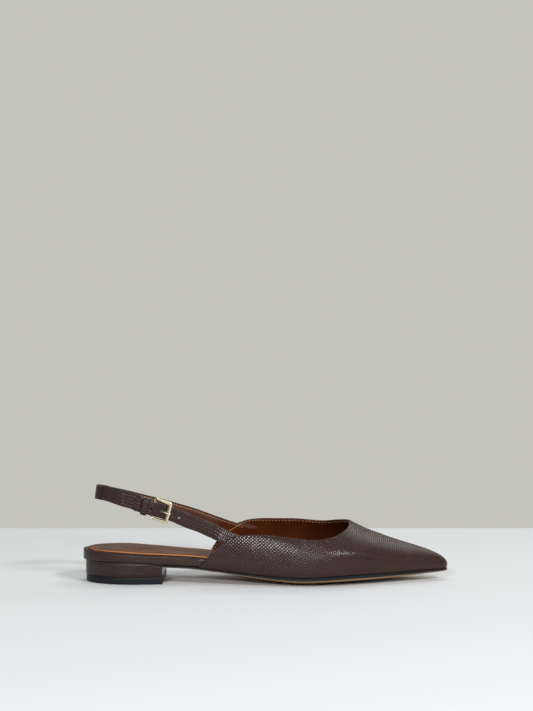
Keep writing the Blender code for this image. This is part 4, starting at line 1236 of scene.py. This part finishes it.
along = Vector((
    math.cos(BUCKLE_SLOPE) * math.cos(BUCKLE_YAW),
    -math.cos(BUCKLE_SLOPE) * math.sin(BUCKLE_YAW),
    -math.sin(BUCKLE_SLOPE),
))
across = (Vector((0, 0, 1)) - along * along.z).normalized()
outward = along.cross(across).normalized()
buckle_middle = Vector((
    to_x(BUCKLE_STATION), BUCKLE_SIDE_SHARE * SEAT_WIDTH, BUCKLE_HEIGHT_SHARE * STRAP_HEIGHT
))
bar_radius = BAR_DIAMETER / 2
rear_bar = buckle_middle - along * (BUCKLE_LENGTH / 2 - bar_radius)
fold_radius = bar_radius + GAP + STRAP_THICKNESS / 2
layer = STRAP_THICKNESS + GAP


def in_buckle(a, b, c=0.0):
    """World point of a place along, outward of and across the buckle."""
    return np.array(rear_bar + along * a + outward * b + across * c)


def in_axes(point):
    """A world point's places along, outward of and across the buckle."""
    away = Vector(point) - rear_bar
    return away.dot(along), away.dot(outward), away.dot(across)


def strap_points(table, side, width):
    """Middle line of a strap and its lean. Tucked rows lie inside the quarter."""
    points = []
    for s, height, share, tucked in table:
        y = share * SEAT_WIDTH
        z = height * STRAP_HEIGHT
        lean = 0.0
        if tucked:
            high = side_at_height(s, z + width / 2, side)
            low = side_at_height(s, z - width / 2, side)
            y = (high + low) / 2 - side * (WALL + 2.4 * GAP + STRAP_THICKNESS / 2)
            lean = math.atan2(high - low, width)
        points.append((to_x(s), y, z, lean))
    return np.array(points)


def unit(vectors):
    return vectors / np.linalg.norm(vectors, axis=-1, keepdims=True)


def strap_frame(line, lean, in_frame):
    """Directions along a strap's width and out of its lined face, at each point."""
    run = unit(np.gradient(line, axis=0))
    upright = np.stack([0 * lean, np.sin(lean), np.cos(lean)], 1)
    upright = unit(upright + (np.array(across) - upright) * in_frame[:, None])
    up = unit(upright - run * (upright * run).sum(1, keepdims=True))
    return up, np.cross(run, up)


def strap_pieces(name, line, widths, frame_ways, finish, lining):
    """Leather of a strap, folded over at its edges, and the lining set into it."""
    up, face = frame_ways
    half = widths[:, None] / 2
    deep = STRAP_THICKNESS / 2
    inset = np.minimum(FOLD_OVER, 0.35 * half)
    soft = np.minimum(0.0005, 0.2 * half)
    one = np.ones_like(half)
    corner = [(soft * (1 - math.cos(a)), soft * (1 - math.sin(a)))
              for a in np.linspace(0.0, math.pi / 2, 5)]
    side = [(half - inset, (deep - 0.00045) * one), (half - inset, (deep - 0.0001) * one),
            (half - inset * 0.85, deep * one)]
    side += [(half - d, deep - e) for e, d in corner]
    side += [(half - d, e - deep) for d, e in corner]
    side += [(half * share, -deep * one) for share in (0.7, 0.45, 0.2)]
    ring = side + [(-u, n) for u, n in side[::-1]]
    u = np.hstack([u for u, n in ring])
    n = np.hstack([n for u, n in ring])
    points = line[:, None] + up[:, None] * u[..., None] + face[:, None] * n[..., None]
    run = run_along(line)
    girth = np.where(n < deep * 0.5, u, np.sign(u) * (half + (n + deep)))
    uv = np.stack([run[:, None] + 0 * u, girth], -1) / STRAP_BEADS
    uv = np.concatenate([uv, uv[:, :1]], axis=1)
    leather = skin(name + "_leather", points, uv, finish, sharp=55.0)
    strip = half - inset - 0.00005
    strip_ring = [(strip, deep - LINING_SINK), (strip, deep - 0.00010),
                  (strip * 0.97, deep - 0.00002), (strip * 0.4, deep)]
    strip_ring += [(-u, n) for u, n in strip_ring[::-1]]
    points = np.stack([line + up * u + face * n for u, n in strip_ring], 1)
    marks = [np.stack([run, u[:, 0]], 1) for u, n in strip_ring]
    uv = np.stack(marks + marks[:1], 1) / LINING_GRAIN
    lined = skin(name + "_lining", points, uv, lining, sharp=55.0)
    return leather, lined


def pierce(pieces, tools):
    """Cuts holes in both layers of a strap and removes the tools."""
    for piece in pieces:
        for tool in tools:
            step = piece.modifiers.new(tool.name, "BOOLEAN")
            step.operation = "DIFFERENCE"
            step.solver = "EXACT"
            step.object = tool
        graph = bpy.context.evaluated_depsgraph_get()
        mesh = bpy.data.meshes.new_from_object(piece.evaluated_get(graph))
        piece.modifiers.clear()
        piece.data = mesh
    for tool in tools:
        bpy.data.objects.remove(tool)


def punch(name, place, size, turn):
    """Round drill or square punch."""
    mesh = bpy.data.meshes.new(name)
    shape = bmesh.new()
    if len(size) == 2:
        bmesh.ops.create_cone(shape, cap_ends=True, segments=24, radius1=size[0],
                              radius2=size[0], depth=size[1])
    else:
        bmesh.ops.create_cube(shape, size=1.0)
        bmesh.ops.scale(shape, vec=size, verts=shape.verts)
    shape.transform(Matrix.Translation(place) @ turn.to_4x4())
    shape.to_mesh(mesh)
    shape.free()
    return placed(name, mesh)


strap_skin = embossed("strap_leather", STRAP_TOP, LEATHER_GROOVE_SHADE, STRAP_BEAD_DEPTH,
                      cross=0.45, wander=0.35, gloss=0.20)
start = strap_points(BILLET_LINE, -1, BILLET_WIDTH)
front_bar_a = BUCKLE_LENGTH - bar_radius - FRONT_BAR_WIDTH / 2
front_bar_b = math.sin(FRAME_TILT) * front_bar_a
under_b = front_bar_b - bar_radius - 1.6 * GAP - STRAP_THICKNESS / 2
over_b = fold_radius + layer + 1.4 * GAP
through = [
    in_buckle(a * BUCKLE_LENGTH, under_b + (over_b - under_b) * climb,
              -BILLET_DROP * ease(0.0, 0.9, a))
    for a, climb in BILLET_RISE[::-1]
]
billet_points = np.vstack([start[:, :3], through])
billet_run = np.linspace(0.0, 1.0, 241)
billet_line = smooth_line(billet_points, billet_run)
lean_at = np.concatenate([np.linspace(0.0, 0.45, len(start)), [1.0]])
billet_lean = np.interp(billet_run, lean_at, np.concatenate([start[:, 3], [0.0]]))
tip = round_end(1.0 - billet_run + 0.004, 0.055)
billet_ways = strap_frame(billet_line, billet_lean, ease(0.42, 0.52, billet_run))
billet = strap_pieces("billet", billet_line, BILLET_WIDTH * tip, billet_ways, strap_skin,
                      tan_lining)


def billet_spot(a):
    """Point and direction of the billet's middle line at a place along the buckle."""
    places = np.array([in_axes(p)[0] for p in billet_line])
    k = int(np.clip(np.searchsorted(-places, -a) - 1, 0, len(places) - 2))
    f = (a - places[k]) / (places[k + 1] - places[k])
    point = Vector(billet_line[k] + (billet_line[k + 1] - billet_line[k]) * f)
    return point, Vector(billet_line[k + 1] - billet_line[k]).normalized()


hole_in_use = 0.44 * BUCKLE_LENGTH
drills = []
for number in range(HOLE_COUNT):
    point, run = billet_spot(hole_in_use + (number - HOLE_COUNT // 2) * HOLE_PITCH)
    turn = Matrix((run, across, run.cross(across))).transposed()
    size = (HOLE_DIAMETER / 2, 4 * STRAP_THICKNESS)
    drills.append(punch(f"drill_{number}", point, size, turn))
pierce(billet, drills)
keep(billet[0], "strap_leather", "billet_strap")
keep(billet[1], "sock_leather", "billet_strap")

sling = strap_points(SLING_LINE, 1, BILLET_WIDTH)
fold = []
for a, drop in ((-1.00, 0.34), (-0.75, 0.46), (-0.42, 0.80)):
    fold.append(in_buckle(a * FOLD_LENGTH, drop * fold_radius - 1.06 * layer))
for turn in np.linspace(-90.0, 90.0, 9):
    angle = math.radians(turn)
    fold.append(in_buckle(fold_radius * math.cos(angle), fold_radius * math.sin(angle)))
for a, b in ((-0.45, 0.80), (-0.80, 0.46)):
    fold.append(in_buckle(a * FOLD_LENGTH, b * fold_radius))
sling_points = np.vstack([fold, sling[:, :3]])
sling_share = np.concatenate([
    np.linspace(0.0, 0.14, FOLD_STEPS), np.linspace(0.14, 1.0, 330)[1:]
])
sling_line = smooth_line(sling_points, sling_share)
run = run_along(sling_points)
sling_lean = np.interp(
    sling_share * run[-1], run, np.concatenate([np.zeros(len(fold)), sling[:, 3]])
)
from_bar = np.abs([in_axes(p)[0] for p in sling_line])
inner_half = ease(-0.3 * SEAT_WIDTH, 0.3 * SEAT_WIDTH, sling_line[:, 1])
sling_widths = STRAP_WIDTH - (STRAP_WIDTH - BILLET_WIDTH) * inner_half
at_back = ease(0.115, 0.045, sling_line[:, 0] / LENGTH + 0.5)
sling_widths = sling_widths - (sling_widths - STRAP_BACK_WIDTH) * at_back
in_fold = ease(FOLD_LENGTH, 0.6 * FOLD_LENGTH, from_bar)
sling_widths = sling_widths - (sling_widths - BILLET_WIDTH) * in_fold
in_frame = 0.5 + 0.5 * ease(0.19, 0.13, sling_share) - 0.5 * ease(0.70, 0.85, sling_share)
sling_ways = strap_frame(sling_line, sling_lean, in_frame)
sling_pieces = strap_pieces("sling", sling_line, sling_widths, sling_ways, strap_skin,
                            tan_lining)
buckle_turn = Matrix((along, across, outward)).transposed()
slot_tool = punch("slot_punch", rear_bar + along * (fold_radius * 0.2),
                  (4.2 * fold_radius, SLOT_WIDTH, 6 * fold_radius), buckle_turn)
pierce(sling_pieces, [slot_tool])
keep(sling_pieces[0], "strap_leather", "sling_strap")
keep(sling_pieces[1], "sock_leather", "sling_strap")


def strap_rows(line, ways, widths, inward, face_share, keep_range):
    """Two stitch lines along a strap, on its lined face or its outer face."""
    up, face = ways
    picked = slice(*[int(len(line) * share) for share in keep_range])
    half = (widths / 2 - inward)[:, None]
    level = face * (face_share * (STRAP_THICKNESS / 2 + 0.00004))
    return [(line + up * half + level)[picked], (line - up * half + level)[picked]]


for name, thread, slot, inward, face_share, sling_range, billet_range in (
    ("strap_stitches", brown_thread, "strap_leather", STRAP_SEAM_OUTSIDE, -1,
     (0.26, 0.97), (0.02, 0.93)),
    ("strap_lining_stitches", tan_thread, "sock_leather", STRAP_SEAM_INSIDE, 1,
     (0.26, 0.985), (0.02, 0.60)),
):
    stitch(name, (
        strap_rows(sling_line, sling_ways, sling_widths, inward, face_share, sling_range)
        + strap_rows(billet_line, billet_ways, BILLET_WIDTH * tip, inward, face_share,
                     billet_range)
    ), thread, slot, pitch=STRAP_PITCH)

# Back patch: a smooth strip of brown leather lapped round the strap behind the heel.
PATCH_FRONT = 0.0600
PATCH_THICKNESS = 0.00040
PATCH_COLOUR = (0.030, 0.016, 0.012)
behind = sling_line[:, 0] < to_x(PATCH_FRONT)
patch_line = sling_line[behind]
up = sling_ways[0][behind]
face = sling_ways[1][behind]
half = sling_widths[behind][:, None] / 2
level = STRAP_THICKNESS / 2
patch_side = [
    # outward of the strap's edge, level from its middle to its outer face
    (0.0002, -0.2 * level), (0.0002, 0.6 * level), (0.0000, level + 0.7 * PATCH_THICKNESS),
    (-0.0006, level + PATCH_THICKNESS),
]
under_side = [(-0.0004, 0.5 * level), (-0.0003, -0.2 * level)]
over_it = [(half + wide, deep) for wide, deep in patch_side]
over_it += [(share * half, level + PATCH_THICKNESS) for share in (0.5, 0.0, -0.5)]
over_it += [(-half - wide, deep) for wide, deep in patch_side[::-1]]
over_it += [(-half - wide, deep) for wide, deep in under_side[::-1]]
over_it += [(half + wide, deep) for wide, deep in under_side]
points = np.stack([patch_line + up * wide - face * deep for wide, deep in over_it], 1)
uv = np.zeros((points.shape[0], points.shape[1] + 1, 2))
patch_leather = smooth_leather("patch_leather", PATCH_COLOUR, gloss=0.42)
patch = skin("back_patch", points, uv, patch_leather, sharp=50.0)
keep(patch, "strap_leather")

# Keeper: a narrow leather band round the billet, the sling and its folded tail.
KEEPER_WIDTH = 0.0044
KEEPER_PLACE = 0.0056
KEEPER_THICKNESS = 0.0009
KEEPER_CORNER = 0.0012
KEEPER_BEADS = (0.0018, 0.0018)
KEEPER_LAP = 0.006


def round_box(low, high, half_c, soft, count):
    """Rounded box round the first direction's low and high ends, corner by corner, as
    places and directions outward."""
    path = []
    for middle, middle_c, first in (
        (high - soft, half_c - soft, 0), (low + soft, half_c - soft, 90),
        (low + soft, soft - half_c, 180), (high - soft, soft - half_c, 270),
    ):
        for angle in np.radians(np.linspace(first, first + 90, count)):
            way = (math.cos(angle), math.sin(angle))
            path.append((middle + soft * way[0], middle_c + soft * way[1], *way))
    return path


keeper_a = -KEEPER_PLACE
outer_b = in_axes(billet_spot(keeper_a)[0])[1] + STRAP_THICKNESS / 2 + 2.4 * GAP
places = np.array([in_axes(p)[:2] for p in sling_line])
tail = places[:int(np.argmax(places[:FOLD_STEPS, 0]))]
tail_b = float(np.interp(keeper_a, tail[:, 0], tail[:, 1]))
inner_b = tail_b - STRAP_THICKNESS / 2 - 3 * GAP
half_c = BILLET_WIDTH / 2 + 1.3 * GAP
half_b = (outer_b - inner_b) / 2
mid_b = (outer_b + inner_b) / 2
edge = [(-1.0, 0.0), (-1.0, 0.55), (-0.94, 0.85), (-0.82, 1.0), (-0.4, 1.0), (0.0, 1.0)]
edge += [(-k, lift) for k, lift in edge[-2::-1]]
rings = []
for b, c, out_b, out_c in round_box(-half_b, half_b, half_c, KEEPER_CORNER, 9):
    rings.append([in_buckle(
        keeper_a + k * KEEPER_WIDTH / 2,
        mid_b + b + out_b * KEEPER_THICKNESS * lift, c + out_c * KEEPER_THICKNESS * lift,
    ) for k, lift in edge])
points = np.array(rings)
run = run_along(points[:, 5])
run = np.concatenate([run, [run[-1] + KEEPER_LAP]])
marks = [np.stack([run, np.full_like(run, k * KEEPER_WIDTH / 2)], 1) for k, lift in edge]
uv = np.stack(marks + marks[:1], 1) / KEEPER_BEADS
keeper = skin("keeper_band", points, uv, strap_skin, closed=True, sharp=60.0)
keep(keeper, "strap_leather", "strap_keeper")

# Buckle: cast and polished frame, pale gold plated, its prong bent round the rear bar.
GILT_COLOURS = ((0.80, 0.66, 0.44), (0.90, 0.79, 0.58))
BAR_SIDES = 20
PRONG_STEPS = 90
PRONG_SIDES = 16
gilt = speckled("gilt_metal", GILT_COLOURS, 260.0, 3.0, 0.14, 0.14, {"Metallic": 1.0})
frame_along = Matrix.Rotation(-FRAME_TILT, 3, across) @ along
frame_out = frame_along.cross(across)
reach_a = BUCKLE_LENGTH - BAR_DIAMETER
reach_c = BUCKLE_HEIGHT / 2 - bar_radius
rings = []
for a, c, out_a, out_c in round_box(0.0, reach_a, reach_c, BUCKLE_CORNER, 11):
    front = ease(0.62 * reach_a, reach_a, a)
    inward = bar_radius + (FRONT_BAR_WIDTH - BAR_DIAMETER) * front
    centre = rear_bar + frame_along * a + across * c
    away = frame_along * out_a + across * out_c
    ring = []
    for k in range(BAR_SIDES):
        angle = 2 * math.pi * k / BAR_SIDES
        u = math.copysign(abs(math.cos(angle)) ** 0.8, math.cos(angle))
        n = math.copysign(abs(math.sin(angle)) ** 0.8, math.sin(angle)) * 0.95
        reach = bar_radius if u > 0 else inward
        ring.append(centre + away * (u * reach) + frame_out * (n * bar_radius))
    rings.append([tuple(p) for p in ring])
points = np.array(rings)


def counted(rings, around):
    """Map for a plain metal skin: the number of the ring and of the point on it."""
    return np.stack(np.meshgrid(np.arange(rings), np.arange(around), indexing="ij"), -1)


uv = counted(len(rings) + 1, BAR_SIDES + 1)
buckle = skin("buckle_ring", points, uv, gilt, closed=True, sharp=70.0)
keep(buckle, "gilt", "buckle_frame")

hook = bar_radius + GAP + PRONG_DIAMETER / 2
point, run = billet_spot(hole_in_use)
through_a, through_b, through_c = in_axes(point)
slope_a = run.dot(outward)
slope_b = -run.dot(along)
rest_b = front_bar_b + bar_radius + GAP + PRONG_DIAMETER / 2
prong_line = []
for turn in np.linspace(100.0, 330.0, 10):
    angle = math.radians(turn)
    prong_line.append((hook * math.cos(angle), hook * math.sin(angle)))
reach = STRAP_THICKNESS * 1.15
prong_line += [
    (through_a - slope_a * reach - 0.5 * PRONG_DIAMETER, through_b - slope_b * reach),
    (through_a - slope_a * reach * 0.4, through_b - slope_b * reach * 0.4),
    (through_a + slope_a * reach * 0.5, through_b + slope_b * reach * 0.5),
    (through_a + slope_a * reach + 0.58 * PRONG_DIAMETER, through_b + slope_b * reach),
    (front_bar_a - 0.67 * FRONT_BAR_WIDTH, rest_b + 0.17 * PRONG_DIAMETER),
    (front_bar_a + 0.27 * FRONT_BAR_WIDTH, rest_b),
    (front_bar_a + 0.63 * FRONT_BAR_WIDTH, rest_b - 0.08 * PRONG_DIAMETER),
]
shares = np.linspace(0.0, 1.0, PRONG_STEPS)
path = smooth_line(np.array([in_buckle(a, b, through_c) for a, b in prong_line]), shares)
ways = unit(np.gradient(path, axis=0))
normal_out = unit(np.cross(np.array(across)[None, :], ways))
radius = PRONG_DIAMETER / 2 * (1.0 - 0.25 * ease(0.77, 1.0, shares))
radius *= np.maximum(round_end(shares, 0.012) * round_end(1.0 - shares, 0.014), 0.25)
angles = np.linspace(0.0, 2 * math.pi, PRONG_SIDES + 1)[:-1]
ring = (np.array(across)[None, None] * np.cos(angles)[None, :, None]
        + normal_out[:, None] * np.sin(angles)[None, :, None])
points = path[:, None] + ring * radius[:, None, None]
uv = counted(PRONG_STEPS, PRONG_SIDES + 1)
prong = skin("buckle_pin", points, uv, gilt, sharp=60.0)
keep(prong, "gilt", "buckle_prong")
